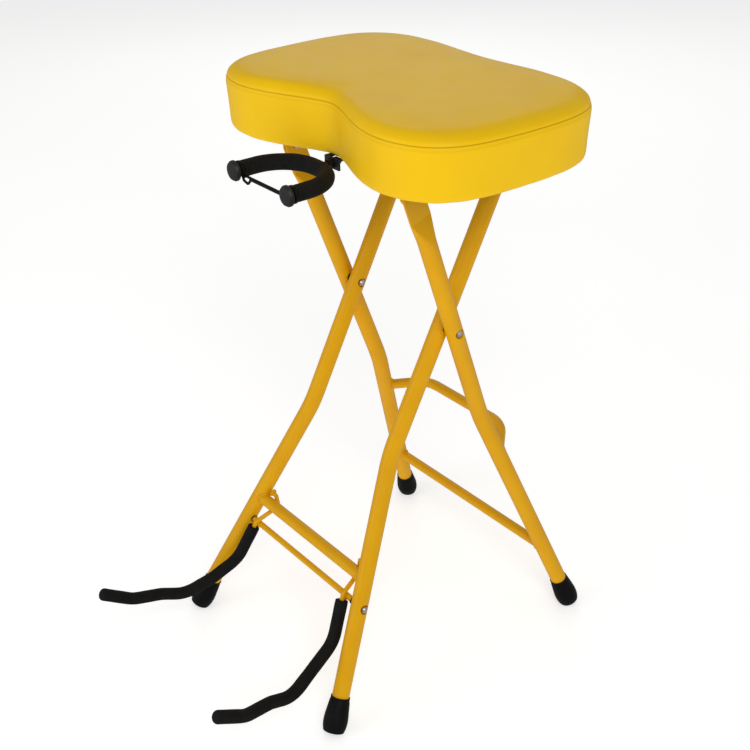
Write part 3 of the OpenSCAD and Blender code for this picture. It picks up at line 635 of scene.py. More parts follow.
@dataclass(frozen=True)
class FoamRubber(Finish):
    """Closed-cell foam rubber sleeve, cut from a moulded tube: dull, with tiny open cells."""

    bloom: str = "#171615"
    cloud: float = 14.0  # width of one patch of pale bloom
    gloss: tuple[float, float] = (0.72, 0.9)
    cell: float = 1.5  # width of one cell; the real 0.5 mm is too fine to show
    cell_depth: float = 0.25
    dent: float = 6.0  # width of one dent of the cut skin
    dent_depth: float = 0.3

    def surface(self, g: Graph) -> bpy.types.Node:
        """Builds the foam. See Finish.surface for Args and Returns."""
        bloom = g.spread(g.noise(self.cloud, 4, 0.6), 0.0, 0.8, 0.4, 0.75)
        cells = g.cells(self.cell)
        normal = g.bumped(cells, self.cell_depth, 0.5)
        normal = g.bumped(g.noise(self.dent, 2), self.dent_depth, 0.4, normal)
        return g.principled(g.mixed(bloom, self.colour, self.bloom), g.spread(cells, *self.gloss), {
            "Normal": normal, "IOR": 1.45, "Specular IOR Level": 0.25,
        })


@dataclass(frozen=True)
class MouldedRubber(Finish):
    """Moulded rubber: satin black, a little grey where dust has settled low down."""

    dust: str = "#1E1C1B"
    dust_h: float = 16.0  # how far up the dust reaches
    speck: float = 5.0
    gloss: tuple[float, float] = (0.48, 0.64)
    skin: float = 1.8  # width of one grain of the mould's texture, drawn coarse enough to show
    skin_depth: float = 0.12

    def surface(self, g: Graph) -> bpy.types.Node:
        """Builds the rubber. See Finish.surface for Args and Returns."""
        low = g.spread(g.height(), 0.55, 0.0, 0.0, mm(self.dust_h))
        specks = g.spread(g.noise(self.speck, 4, 0.65), 0.0, 1.0, 0.45, 0.7)
        colour = g.mixed(g.maths("MULTIPLY", low, specks), self.colour, self.dust)
        grain = g.noise(self.skin, 3)
        return g.principled(colour, g.spread(grain, *self.gloss, 0.3, 0.7), {
            "Normal": g.bumped(grain, self.skin_depth, 0.5), "IOR": 1.5, "Specular IOR Level": 0.16,
        })


@dataclass(frozen=True)
class MouldedPlastic(Finish):
    """Injection-moulded nylon or polypropylene with a spark-eroded grain."""

    gloss: tuple[float, float] = (0.42, 0.55)
    glow: float = 0.0  # share of the light that scatters inside
    cloud: float = 9.0
    grain: float = 1.4  # width of one grain; the real 0.2 mm is too fine to show
    grain_depth: float = 0.05

    def surface(self, g: Graph) -> bpy.types.Node:
        """Builds the plastic. See Finish.surface for Args and Returns."""
        grain = g.noise(self.grain, 2)
        colour = g.mixed(g.noise(self.cloud, 2), self.colour, darker(self.colour, 0.88))
        return g.principled(colour, g.spread(grain, *self.gloss, 0.3, 0.7), {
            "Normal": g.bumped(grain, self.grain_depth, 0.5), "IOR": 1.5,
            "Subsurface Weight": self.glow, "Subsurface Scale": mm(1.5),
        })


@dataclass(frozen=True)
class PlatedSteel(Finish):
    """Turned and plated steel: bright, with fine turning marks and a few dull spots."""

    gloss: tuple[float, float] = (0.12, 0.3)
    spot: float = 3.0  # width of one dull spot
    mark: float = 0.9  # spacing of the turning marks, drawn coarse enough to show
    mark_depth: float = 0.02

    def surface(self, g: Graph) -> bpy.types.Node:
        """Builds the plate. See Finish.surface for Args and Returns."""
        spots = g.noise(self.spot, 4, 0.6)
        colour = g.mixed(g.spread(spots, 0.0, 0.7, 0.4, 0.7), self.colour, darker(self.colour, 0.8))
        return g.principled(colour, g.spread(spots, *self.gloss, 0.35, 0.7), {
            "Metallic": 1.0, "Normal": g.bumped(g.noise(self.mark, 1), self.mark_depth, 0.4),
        })


@dataclass(frozen=True)
class BirchPlywood(Finish):
    """Raw rotary-cut plywood: long soft grain with darker streaks and pores."""

    streak: str = "#A97D4C"
    grain: float = 5.0  # width of one streak of the grain
    grain_stretch: float = 12.0  # how many times longer a streak is
    gloss: tuple[float, float] = (0.62, 0.78)
    pore: float = 1.1
    pore_depth: float = 0.08

    def surface(self, g: Graph) -> bpy.types.Node:
        """Builds the wood. See Finish.surface for Args and Returns."""
        stretch = {"Vector": g.place, "Scale": (self.grain_stretch, 1.0, 1.0)}
        long_way = add_node(g.tree, "ShaderNodeMapping", {"vector_type": "TEXTURE"}, stretch).outputs[0]
        rings = g.spread(g.noise(self.grain, 5, 0.62, long_way), 0.0, 1.0, 0.35, 0.7)
        pores = g.noise(self.pore, 2, place=long_way)
        return g.principled(g.mixed(rings, self.colour, self.streak), g.spread(pores, *self.gloss), {
            "Normal": g.bumped(pores, self.pore_depth, 0.5), "IOR": 1.5,
        })


@dataclass(frozen=True)
class SpunbondSheet(Finish):
    """Spunbonded polypropylene dust sheet: tangled fibres pressed together in dots."""

    fibre: str = "#3B3B3D"
    fibre_w: float = 1.6  # width of one tuft of fibres
    fibre_depth: float = 0.15
    gloss: tuple[float, float] = (0.55, 0.85)
    dot: float = 2.6  # spacing of the pressed dots; the real 1 mm is too fine to show
    dot_depth: float = 0.12

    def surface(self, g: Graph) -> bpy.types.Node:
        """Builds the sheet. See Finish.surface for Args and Returns."""
        fibres = g.noise(self.fibre_w, 6, 0.75)
        pressed = g.spread(g.cells(self.dot, more={"Randomness": 0.15}), 0.0, 1.0, 0.18, 0.34)
        colour = g.mixed(g.spread(fibres, 0.0, 1.0, 0.4, 0.65), self.colour, self.fibre)
        normal = g.bumped(pressed, self.dot_depth, 0.6)
        normal = g.bumped(fibres, self.fibre_depth, 0.5, normal)
        return g.principled(colour, g.spread(pressed, *self.gloss), {
            "Normal": normal, "IOR": 1.45, "Sheen Weight": 0.12, "Sheen Roughness": 0.5,
        })


@dataclass(frozen=True)
class PaintedRod(Finish):
    """Bent steel rod with thin black paint: satin, slightly rubbed."""

    rubbed: str = "#34312E"
    rub: float = 4.0  # width of one rubbed spot
    gloss: tuple[float, float] = (0.32, 0.48)
    ripple: float = 2.2  # width of one ripple of the paint
    ripple_depth: float = 0.04

    def surface(self, g: Graph) -> bpy.types.Node:
        """Builds the paint. See Finish.surface for Args and Returns."""
        rub = g.noise(self.rub, 4, 0.7)
        colour = g.mixed(g.spread(rub, 0.0, 0.8, 0.55, 0.8), self.colour, self.rubbed)
        return g.principled(colour, g.spread(rub, *self.gloss, 0.3, 0.7), {
            "Normal": g.bumped(g.noise(self.ripple, 1), self.ripple_depth, 0.5), "IOR": 1.5,
        })


@dataclass(frozen=True)
class StudioWhite(Finish):
    """White painted studio floor, lit so far that it nearly loses its edges."""

    paler: str = "#F4F4F3"
    cloud: float = 900.0
    glow: float = 0.47

    def surface(self, g: Graph) -> bpy.types.Node:
        """Builds the floor's paint. See Finish.surface for Args and Returns."""
        return g.principled(g.mixed(g.noise(self.cloud, 2), self.colour, self.paler), 0.9, {
            "Specular IOR Level": 0.1, "Emission Color": linear("#FFFFFF"), "Emission Strength": self.glow,
        })


@dataclass(frozen=True)
class StoolFinishes:
    """Every finish of the stool."""

    frame: Finish = PowderCoatedSteel("powder_coated_steel", "#E2A704")
    vinyl: Finish = PaddedVinyl("padded_vinyl", "#F4C50D")
    foam: Finish = FoamRubber("foam_rubber", "#0C0B0B")
    rubber: Finish = MouldedRubber("moulded_rubber", "#050505")
    plastic: Finish = MouldedPlastic("moulded_plastic", "#0B0B0C")
    nylon: Finish = MouldedPlastic("nylon", "#E3E0D6", (0.35, 0.48), 0.1)
    chrome: Finish = PlatedSteel("chrome_plated_steel", "#E4E4E2")
    zinc: Finish = PlatedSteel("zinc_plated_steel", "#BFC1C2", (0.25, 0.42))
    plywood: Finish = BirchPlywood("birch_plywood", "#CFA673")
    dust_sheet: Finish = SpunbondSheet("spunbond_sheet", "#262627")
    rod: Finish = PaintedRod("painted_rod", "#171616")
    black_nut: Finish = PlatedSteel("black_oxide_steel", "#3A3A3C", (0.3, 0.48))


# Sub-assemblies


@dataclass
class Stand:
    """The scissor stand, with the sizes that its looks need."""

    finishes: StoolFinishes
    nodes: dict[str, Obj]
    pivot_y: float = 105.203
    pivot_h: float = 468.0
    front_lean: float = 27.4
    rear_lean: float = 20.1
    tube_d: float = 22.0
    bar_d: float = 16.0
    rear_bar_d: float = 14.0
    rest_d: float = 14.0
    front_x: float = 81.5
    rear_x: float = 105.3
    rear_flare: float = 1.2
    front_knee_h: float = 313.0
    rear_knee_h: float = 327.0
    front_floor_x: float = 159.0
    rear_floor_x: float = 178.0
    front_bar_h: float = 175.0
    rear_bar_h: float = 103.0
    rail_h: float = 660.0
    rest_h: float = 265.5
    rest_w: float = 150.0
    rest_reach: float = 46.0
    rest_rise: float = 7.5
    bead_d: float = 3.4
    painted: tuple[str, ...] = (
        "rear_leg_left", "rear_leg_right", "rear_crossbar", "footrest_bar", "front_leg_left",
        "front_leg_right", "front_crossbar", "front_top_rail",
    )
    rubber: tuple[str, ...] = (
        "rear_foot_left", "rear_foot_right", "front_foot_left", "front_foot_right", "front_leg_plugs",
    )
    bright: tuple[str, ...] = ("scissor_bolts", "scissor_nuts", "cradle_bolt", "cradle_lock_nut")
    dark: tuple[str, ...] = ("scissor_washers", "cradle_washers")
    bead_out: float = 0.25  # how far the bead's middle stands off both tubes
    bead_rings: int = 72

    def along(self, height: float, lean: float) -> float:
        """Measures along a leaning frame.

        Args:
            height: A height above the floor.
            lean: The frame's lean in degrees.

        Returns:
            The distance from the scissor axis to that height.
        """
        return (height - self.pivot_h) / math.cos(math.radians(lean))

    def placed(self, point: Sequence[float], turn: float) -> Points:
        """Carries a point of a leaning frame to its place in the stool.

        Args:
            point: Across, out of plane and along the frame, from the scissor axis.
            turn: The frame's lean in degrees, with the sign of its turn about X.

        Returns:
            The point in the stool's millimetres.
        """
        c, s = math.cos(math.radians(turn)), math.sin(math.radians(turn))
        x, y, z = point
        return np.array([x, self.pivot_y + y * c - z * s, self.pivot_h + y * s + z * c])

    def leg_x(self, s: float, rear: bool) -> float:
        """Finds how far out a lower leg's centre lies.

        Args:
            s: Distance along its frame from the scissor axis.
            rear: Whether it is a rear leg.

        Returns:
            The distance from the stool's middle plane.
        """
        lean = self.rear_lean if rear else self.front_lean
        knee_s = self.along(self.rear_knee_h if rear else self.front_knee_h, lean)
        floor_s = self.along(0, lean)
        knee_x = self.rear_x + knee_s * math.tan(math.radians(self.rear_flare)) if rear else self.front_x
        floor_x = self.rear_floor_x if rear else self.front_floor_x
        return knee_x + (knee_s - s) * (floor_x - knee_x) / (knee_s - floor_s)

    def leg_way(self, rear: bool, side: Side) -> Points:
        """Finds the direction of a lower leg.

        Args:
            rear: Whether it is a rear leg.
            side: Which side it is on.

        Returns:
            The direction, upwards, in the stool.
        """
        lean = self.rear_lean if rear else self.front_lean
        turn = lean if rear else -lean
        low, high = self.along(0, lean), self.along(200, lean)
        a = self.placed([side.value * self.leg_x(low, rear), 0, low], turn)
        b = self.placed([side.value * self.leg_x(high, rear), 0, high], turn)
        return unit(b - a)

    def bead(
        self, parts: MeshParts, centre: Points, bar_way: Points, bar_d: float, leg_way: Points, seed: float
    ) -> None:
        """Adds a weld bead where a bar meets a leg.

        Args:
            parts: The mesh that the bead is added to.
            centre: Where the two centre lines meet.
            bar_way: Direction of the bar, away from the leg.
            bar_d: Diameter of the bar.
            leg_way: Direction of the leg.
            seed: Makes this bead's ripples its own.
        """
        e1 = unit(leg_way - (leg_way @ bar_way) * bar_way)
        e2 = np.cross(bar_way, e1)
        across = bar_way - (bar_way @ leg_way) * leg_way
        line = []
        reach = self.tube_d / 2 + self.bead_out
        for angle in circle(self.bead_rings):
            q = (bar_d / 2 + self.bead_out) * (math.cos(angle) * e1 + math.sin(angle) * e2)
            flat = q - (q @ leg_way) * leg_way
            a, b = float(across @ across), float(across @ flat)
            t = (-b + math.sqrt(max(b * b - a * (flat @ flat - reach**2), 0))) / a
            line.append(centre + t * bar_way + q)
        ripple = np.array([
            self.bead_d / 2 * (1 + 0.12 * math.sin(i * 2 * math.pi / 3) + 0.16 * waver(i * 0.35, seed, 0))
            for i in range(self.bead_rings)
        ])
        parts.add(*swept(np.array(line), round_section(ripple), 10, closed=True))

    def front_welds(self) -> Obj:
        """Returns the weld beads of the front frame."""
        parts = MeshParts()
        for side in Side:
            inward = np.array([-side.value, 0.0, 0.0])
            s = self.along(self.front_bar_h, self.front_lean)
            centre = self.placed([side.value * self.leg_x(s, False), 0, s], -self.front_lean)
            self.bead(parts, centre, inward, self.bar_d, self.leg_way(False, side), side.value + 3.1)
            s = self.along(self.rail_h, self.front_lean)
            centre = self.placed([side.value * self.front_x, 0, s], -self.front_lean)
            up = unit(self.placed([0, 0, 10], -self.front_lean) - self.placed([0, 0, 0], -self.front_lean))
            self.bead(parts, centre, inward, self.bar_d, up, side.value + 9.7)
        return parts.piece("front_frame_welds")

    def rear_welds(self) -> Obj:
        """Returns the weld beads of the rear frame and its footrest."""
        parts = MeshParts()
        for side in Side:
            inward = np.array([-side.value, 0.0, 0.0])
            s = self.along(self.rear_bar_h, self.rear_lean)
            centre = self.placed([side.value * self.leg_x(s, True), 0, s], self.rear_lean)
            self.bead(parts, centre, inward, self.rear_bar_d, self.leg_way(True, side), side.value + 5.3)
            s = self.along(self.rest_h, self.rear_lean)
            end = self.placed([side.value * self.leg_x(s, True), 0, s], self.rear_lean)
            corner = [side.value * self.rest_w / 2, end[1] + self.rest_reach, end[2] + self.rest_rise]
            self.bead(parts, end, unit(corner - end), self.rest_d, self.leg_way(True, side), side.value + 7.9)
        return parts.piece("rear_frame_welds")

    def build(self) -> None:
        """Makes the stand's own pieces and dresses its nodes."""
        f = self.finishes
        for weld, body in ((self.front_welds(), Body.FRONT_FRAME), (self.rear_welds(), Body.REAR_FRAME)):
            f.frame.dress(weld)
            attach(weld, body.value)
            LOG.info("built %s", weld.name)
        for names, finish in (
            (self.painted, f.frame), (self.rubber, f.rubber), (self.bright, f.chrome), (self.dark, f.plastic),
        ):
            finish.dress(*(self.nodes[n] for n in names))


@dataclass
class Seat:
    """The padded seat: its vinyl cushion, dust sheet and fittings."""

    finishes: StoolFinishes
    nodes: dict[str, Obj]
    centre_y: float = 114.703
    floor_z: float = 680.0
    length: float = 426.0
    depth: float = 283.0
    seam_h: float = 60.8  # the photograph's seam runs a little lower than the model's facets
    corners: int = 272
    rim_w: float = 29.0  # how far in from the seam the top panel rounds over
    rim_slope: float = 59.0  # how steeply it starts, in degrees
    rim_power: float = 3.75  # how soon it flattens
    crown_h: float = 0.9  # how far the flat top still rises inside the rim
    half_size: float = 160.0  # mean distance from the seat's edge to its middle
    held_rows: int = 7  # rings of the hem that the simulation leaves in place
    even_rounds: int = 24  # rounds of evening out after the simulation
    sheet_inset: float = 16.0
    sheet_hem: float = 9.0  # width of the edge that is folded under
    sheet_t: float = 0.8
    top_insets: tuple[float, ...] = (2.3, 3.6, 5.6, 8.2, 11.5, 15.5, 20.0, 25.0)
    # how far in from the outline, and how high: from the turned-under hem up to the seam
    side_shape: tuple[tuple[float, float], ...] = (
        (26, 1.0), (26, 0.15), (20, 0), (12, 0), (8.4, 0.1), (6.0, 0.7), (4.2, 2.0), (2.9, 4.4), (2.3, 8),
        (2.1, 15), (1.9, 22), (1.6, 29), (1.2, 36), (0.7, 43), (0.3, 49), (0.0, 53), (0.0, 56), (0.3, 58.2),
        (0.8, 59.7),
    )
    # right half of the outline from the front notch to the back, in half lengths and half depths
    half_outline: tuple[tuple[float, float], ...] = (
        (0, -0.745), (0.14, -0.80), (0.30, -0.90), (0.44, -0.97), (0.58, -1), (0.72, -0.97), (0.84, -0.88),
        (0.93, -0.72), (0.98, -0.48), (1, -0.12), (1, 0.22), (0.98, 0.47), (0.93, 0.68), (0.83, 0.85),
        (0.70, 0.95), (0.54, 0.99), (0.38, 1), (0.18, 0.985), (0, 0.975),
    )

    def outline(self) -> Points:
        """Returns evenly spaced points round the seat, anticlockwise from the front notch."""
        half = list(self.half_outline)
        shares = np.array(half + [(-x, y) for x, y in half[-2:0:-1]])
        count = len(shares)
        out = []
        for i in range(count):
            a, b, c, d = (shares[(i + k) % count] for k in (-1, 0, 1, 2))
            for t in np.linspace(0, 1, 40, endpoint=False):
                out.append(0.5 * (2 * b + (c - a) * t + (2 * a - 5 * b + 4 * c - d) * t * t
                                  + (3 * b - a - 3 * c + d) * t ** 3))
        line = np.array(out) * [self.length / 2, self.depth / 2]
        even = respaced(line, 0.5, closed=True)
        pick = np.linspace(0, len(even), self.corners, endpoint=False).astype(int)
        return even[pick]

    def ring(self, edge: Points, inset: float, height: float) -> Points:
        """Draws one level ring of the seat.

        Args:
            edge: The seat's outline.
            inset: How far in from it the ring is.
            height: How high the ring lies.

        Returns:
            The ring's points.
        """
        flat = edge - inset * unit(edge)
        return np.column_stack([flat, np.full(len(edge), height)])

    def crown(self, inset: float) -> float:
        """Finds the height of the top panel.

        Args:
            inset: Distance in from the outline.

        Returns:
            The height above the seam.
        """
        left = 1 - min(inset, self.rim_w) / self.rim_w
        steep = math.tan(math.radians(self.rim_slope))
        rim = steep * self.rim_w / self.rim_power * (1 - left**self.rim_power)
        return rim + self.crown_h * (1 - math.exp(-max(inset - 10, 0) / 50))

    def closing_faces(
        self, parts: MeshParts, edge: Points, level: Callable[[float], float], inset: float, up: bool
    ) -> None:
        """Closes the seat's top or underside with rings that halve their corners inwards.

        Args:
            parts: The mesh, whose last ring is the one to close.
            edge: The seat's outline.
            level: Height for a share of the outline's size, from 1 at the rim to 0 in the middle.
            inset: How far in from the outline the rim is.
            up: Whether the faces look up.
        """
        count, start = len(edge), parts.count - len(edge)
        rim = edge - inset * unit(edge)
        share, step, keep = 1.0, 0.03, 1
        while share > 0.09:
            share -= step
            # every second corner is left out where the rings get short
            halve = count // keep % 2 == 0 and share * keep < 0.62 and keep < 8
            old_keep, keep = keep, keep * 2 if halve else keep
            pts = rim[::keep] * share
            first, n_old, n_new = start, count // old_keep, count // keep
            new = parts.count
            parts.add(np.column_stack([pts, np.full(len(pts), level(share))]), [])
            for k in range(n_new):
                a, b = new + k, new + (k + 1) % n_new
                if keep == old_keep:
                    c, d = first + (k + 1) % n_old, first + k
                    face = [(a, b, c, d)]
                else:
                    p, q, r = first + 2 * k, first + 2 * k + 1, first + (2 * k + 2) % n_old
                    face = [(a, q, p), (a, b, q), (b, r, q)]
                parts.faces += [f[::-1] if up else f for f in face]
            start = new
            step = 0.03 if share > 0.3 else 0.045
        n_last, tip = count // keep, parts.count
        parts.add(np.array([[0.0, 0.0, level(0.0)]]), [])
        for k in range(n_last):
            face = (tip, start + k, start + (k + 1) % n_last)
            parts.faces.append(face if up else (face[0], face[2], face[1]))

    def cushion(self) -> Obj:
        """Returns the padded vinyl cushion, puffed out by a cloth simulation."""
        edge = self.outline()
        count = len(edge)
        parts = MeshParts()
        seam = [(1.2, -0.4), (1.8, 0), (1.5, 0.5), (1.5, 1.1)]
        top = [(inset, self.crown(inset)) for inset in self.top_insets]
        shape = list(self.side_shape) + [(inset, self.seam_h + h) for inset, h in seam + top]
        levels = np.vstack([self.ring(edge, *row) for row in shape])
        parts.add(levels, tube_faces(len(shape), count, closed=False, capped=False))
        last, size = self.top_insets[-1], self.half_size
        self.closing_faces(
            parts, edge, lambda s: self.seam_h + self.crown((1 - s * (1 - last / size)) * size), last, True
        )
        # the underside is closed inside the turned-under hem, where the board lies
        middle = parts.count
        parts.add(np.array([[0.0, 0.0, 1.1]]), [])
        parts.faces += [(middle, (k + 1) % count, k) for k in range(count)]
        points = np.vstack(parts.points) + [0, self.centre_y, self.floor_z]
        piece = mesh_piece("seat_cushion", points, parts.faces)
        side, both = len(self.side_shape), len(self.side_shape) + len(seam)
        held = [*range(self.held_rows * count), *range((side - 2) * count, (both + 2) * count), middle]
        ClothPuff(pressure=2.5, cap=1.4).run(piece, held)
        self.even_out(piece, points, held)
        self.soften(piece)
        subdivide(piece)
        return piece

    def even_out(self, piece: Obj, before: Points, held: Sequence[int]) -> None:
        """Evens out what the cloth simulation moved, as foam under the cover does.

        Args:
            piece: The cushion.
            before: Its points in millimetres before the simulation.
            held: Numbers of the points that stay.
        """
        mesh = piece.data
        ends = np.array([e.vertices[:] for e in mesh.edges])
        after = np.array([v.co[:] for v in mesh.vertices]) * PER_METRE
        moved = after - before
        near = np.bincount(ends.ravel(), minlength=len(after))[:, None]
        for _ in range(self.even_rounds):
            total = np.zeros_like(moved)
            np.add.at(total, ends[:, 0], moved[ends[:, 1]])
            np.add.at(total, ends[:, 1], moved[ends[:, 0]])
            moved = 0.4 * moved + 0.6 * total / near
            moved[held] = 0
        for v, point in zip(mesh.vertices, before + moved):
            v.co = point / PER_METRE
        mesh.update()

    def local(self, point: Vector) -> tuple[float, float, float]:
        """Returns a corner's place from the middle of the seat's underside, in millimetres."""
        return point.x * PER_METRE, point.y * PER_METRE - self.centre_y, point.z * PER_METRE - self.floor_z

    def soften(self, piece: Obj) -> None:
        """Adds the faint unevenness and folds of a stretched cover.

        Args:
            piece: The cushion.
        """
        mesh = piece.data
        normals = [v.normal.copy() for v in mesh.vertices]
        for v, normal in zip(mesh.vertices, normals):
            x, y, z = self.local(v.co)
            if z < 1.5:
                # pleats of the hem, pressed flat between the board and the staples
                around = math.atan2(y, x)
                pleat = waver(math.cos(around) * 14, math.sin(around) * 14, 3.0)
                v.co.z += mm(max(0.0, pleat) * 0.9)
                continue
            if abs(z - self.seam_h) < 2.6:
                continue
            if z > self.seam_h:
                lift = 0.16 * waver(x / 80, y / 70, 1.5) + 0.04 * waver(x / 24, y / 24, 7)
            else:
                share = max(0.0, min(1.0, z / 14)) * max(0.0, min(1.0, (self.seam_h - z) / 8))
                ripple = waver(x / 26, y / 26, z / 90) * 0.55
                notch = math.exp(-((x / 70) ** 2)) * (1 if y < 0 else 0)
                fold = math.sin((z + 0.25 * abs(x)) / 7.5) * 0.35 * notch
                lift = (ripple + fold) * share
            v.co += normal * mm(lift)
        mesh.update()

    def sheet(self) -> Obj:
        """Returns the dust sheet under the seat, with its edge folded under and slight slack."""
        edge = self.outline()
        count = len(edge)
        parts = MeshParts()
        under, over, out = -self.sheet_t + 0.1, -0.1, self.sheet_inset
        hem = out + self.sheet_hem
        shape = [
            (out + 4, under), (out + 0.6, under), (out, under / 2 + over / 2), (out + 0.6, over), (hem, over),
        ]
        parts.add(self.ring(edge, hem, under + 0.35), [])
        self.closing_faces(parts, edge, lambda s: under + 0.35, hem, False)
        first = parts.count
        levels = np.vstack([self.ring(edge, *row) for row in shape])
        parts.add(levels, tube_faces(len(shape), count, closed=False, capped=False))
        parts.faces += [(k, (k + 1) % count, first + (k + 1) % count, first + k) for k in range(count)]
        self.closing_faces(parts, edge, lambda s: over, hem, True)
        points = np.vstack(parts.points) + [0, self.centre_y, self.floor_z]
        piece = mesh_piece("dust_sheet_cloth", points, parts.faces)
        for v in piece.data.vertices:
            x, y, z = self.local(v.co)
            if z < -0.3:
                v.co.z += mm(0.10 * waver(x / 9, y / 40, 2))
        piece.data.update()
        return piece

    def build(self) -> None:
        """Makes the cushion and dust sheet and dresses the seat's nodes."""
        f = self.finishes
        cushion = self.cushion()
        f.vinyl.dress(cushion)
        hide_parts("seat_cover", "seat_foam")
        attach(cushion, Body.SEAT.value)
        LOG.info("built %s", cushion.name)
        sheet = self.sheet()
        f.dust_sheet.dress(sheet)
        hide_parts("dust_cover")
        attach(sheet, Body.SEAT.value)
        LOG.info("built %s", sheet.name)
        f.vinyl.dress(self.nodes["seat_cover"], self.nodes["seat_foam"])
        f.dust_sheet.dress(self.nodes["dust_cover"])
        f.plywood.dress(self.nodes["seat_board"])
        f.frame.dress(self.nodes["seat_ear_left"], self.nodes["seat_ear_right"])
        f.rod.dress(self.nodes["fork_bracket"])
        f.chrome.dress(self.nodes["hinge_bolts"], self.nodes["hinge_nuts"])
        f.nylon.dress(self.nodes["hinge_washers"])
        f.zinc.dress(self.nodes["board_screws"], self.nodes["cover_staples"])
        f.plastic.dress(self.nodes["rail_clip_left"], self.nodes["rail_clip_right"])


@dataclass
class ClothPuff:
    """A short cloth simulation that swells a padded piece between its seams."""

    pressure: float
    cap: float  # the furthest that a corner may move, in millimetres
    frames: int = 20
    settings: tuple[tuple[str, float], ...] = (
        ("quality", 5), ("mass", 0.3), ("tension_stiffness", 30), ("compression_stiffness", 30),
        ("shear_stiffness", 12), ("bending_stiffness", 4), ("use_pressure", True),
    )

    def run(self, piece: Obj, held: Sequence[int]) -> None:
        """Simulates the piece and keeps the result as its mesh.

        Args:
            piece: The closed piece to swell.
            held: Corners that stay where they are.
        """
        scene = bpy.context.scene
        rest = np.array([v.co for v in piece.data.vertices])
        group = piece.vertex_groups.new(name="held")
        group.add(list(held), 1.0, "REPLACE")
        cloth = piece.modifiers.new("Puff", "CLOTH")
        for key, value in self.settings:
            setattr(cloth.settings, key, value)
        cloth.settings.uniform_pressure_force = self.pressure
        cloth.settings.vertex_group_mass = "held"
        cloth.settings.effector_weights.gravity = 0
        cloth.point_cache.frame_start = 1
        cloth.point_cache.frame_end = self.frames
        for frame in range(1, self.frames + 1):
            scene.frame_set(frame)
        shown = piece.evaluated_get(bpy.context.evaluated_depsgraph_get())
        now = np.array([v.co for v in shown.data.vertices])
        piece.modifiers.clear()
        piece.vertex_groups.clear()
        move = now - rest
        far = np.linalg.norm(move, axis=1, keepdims=True)
        capped = rest + move * np.minimum(1.0, mm(self.cap) / np.maximum(far, SAME_PLACE))
        LOG.info("%s swelled by up to %.1f mm", piece.name, min(float(far.max()) * PER_METRE, self.cap))
        piece.data.vertices.foreach_set("co", capped.astype(np.float32).ravel())
        piece.data.update()
        scene.frame_set(1)


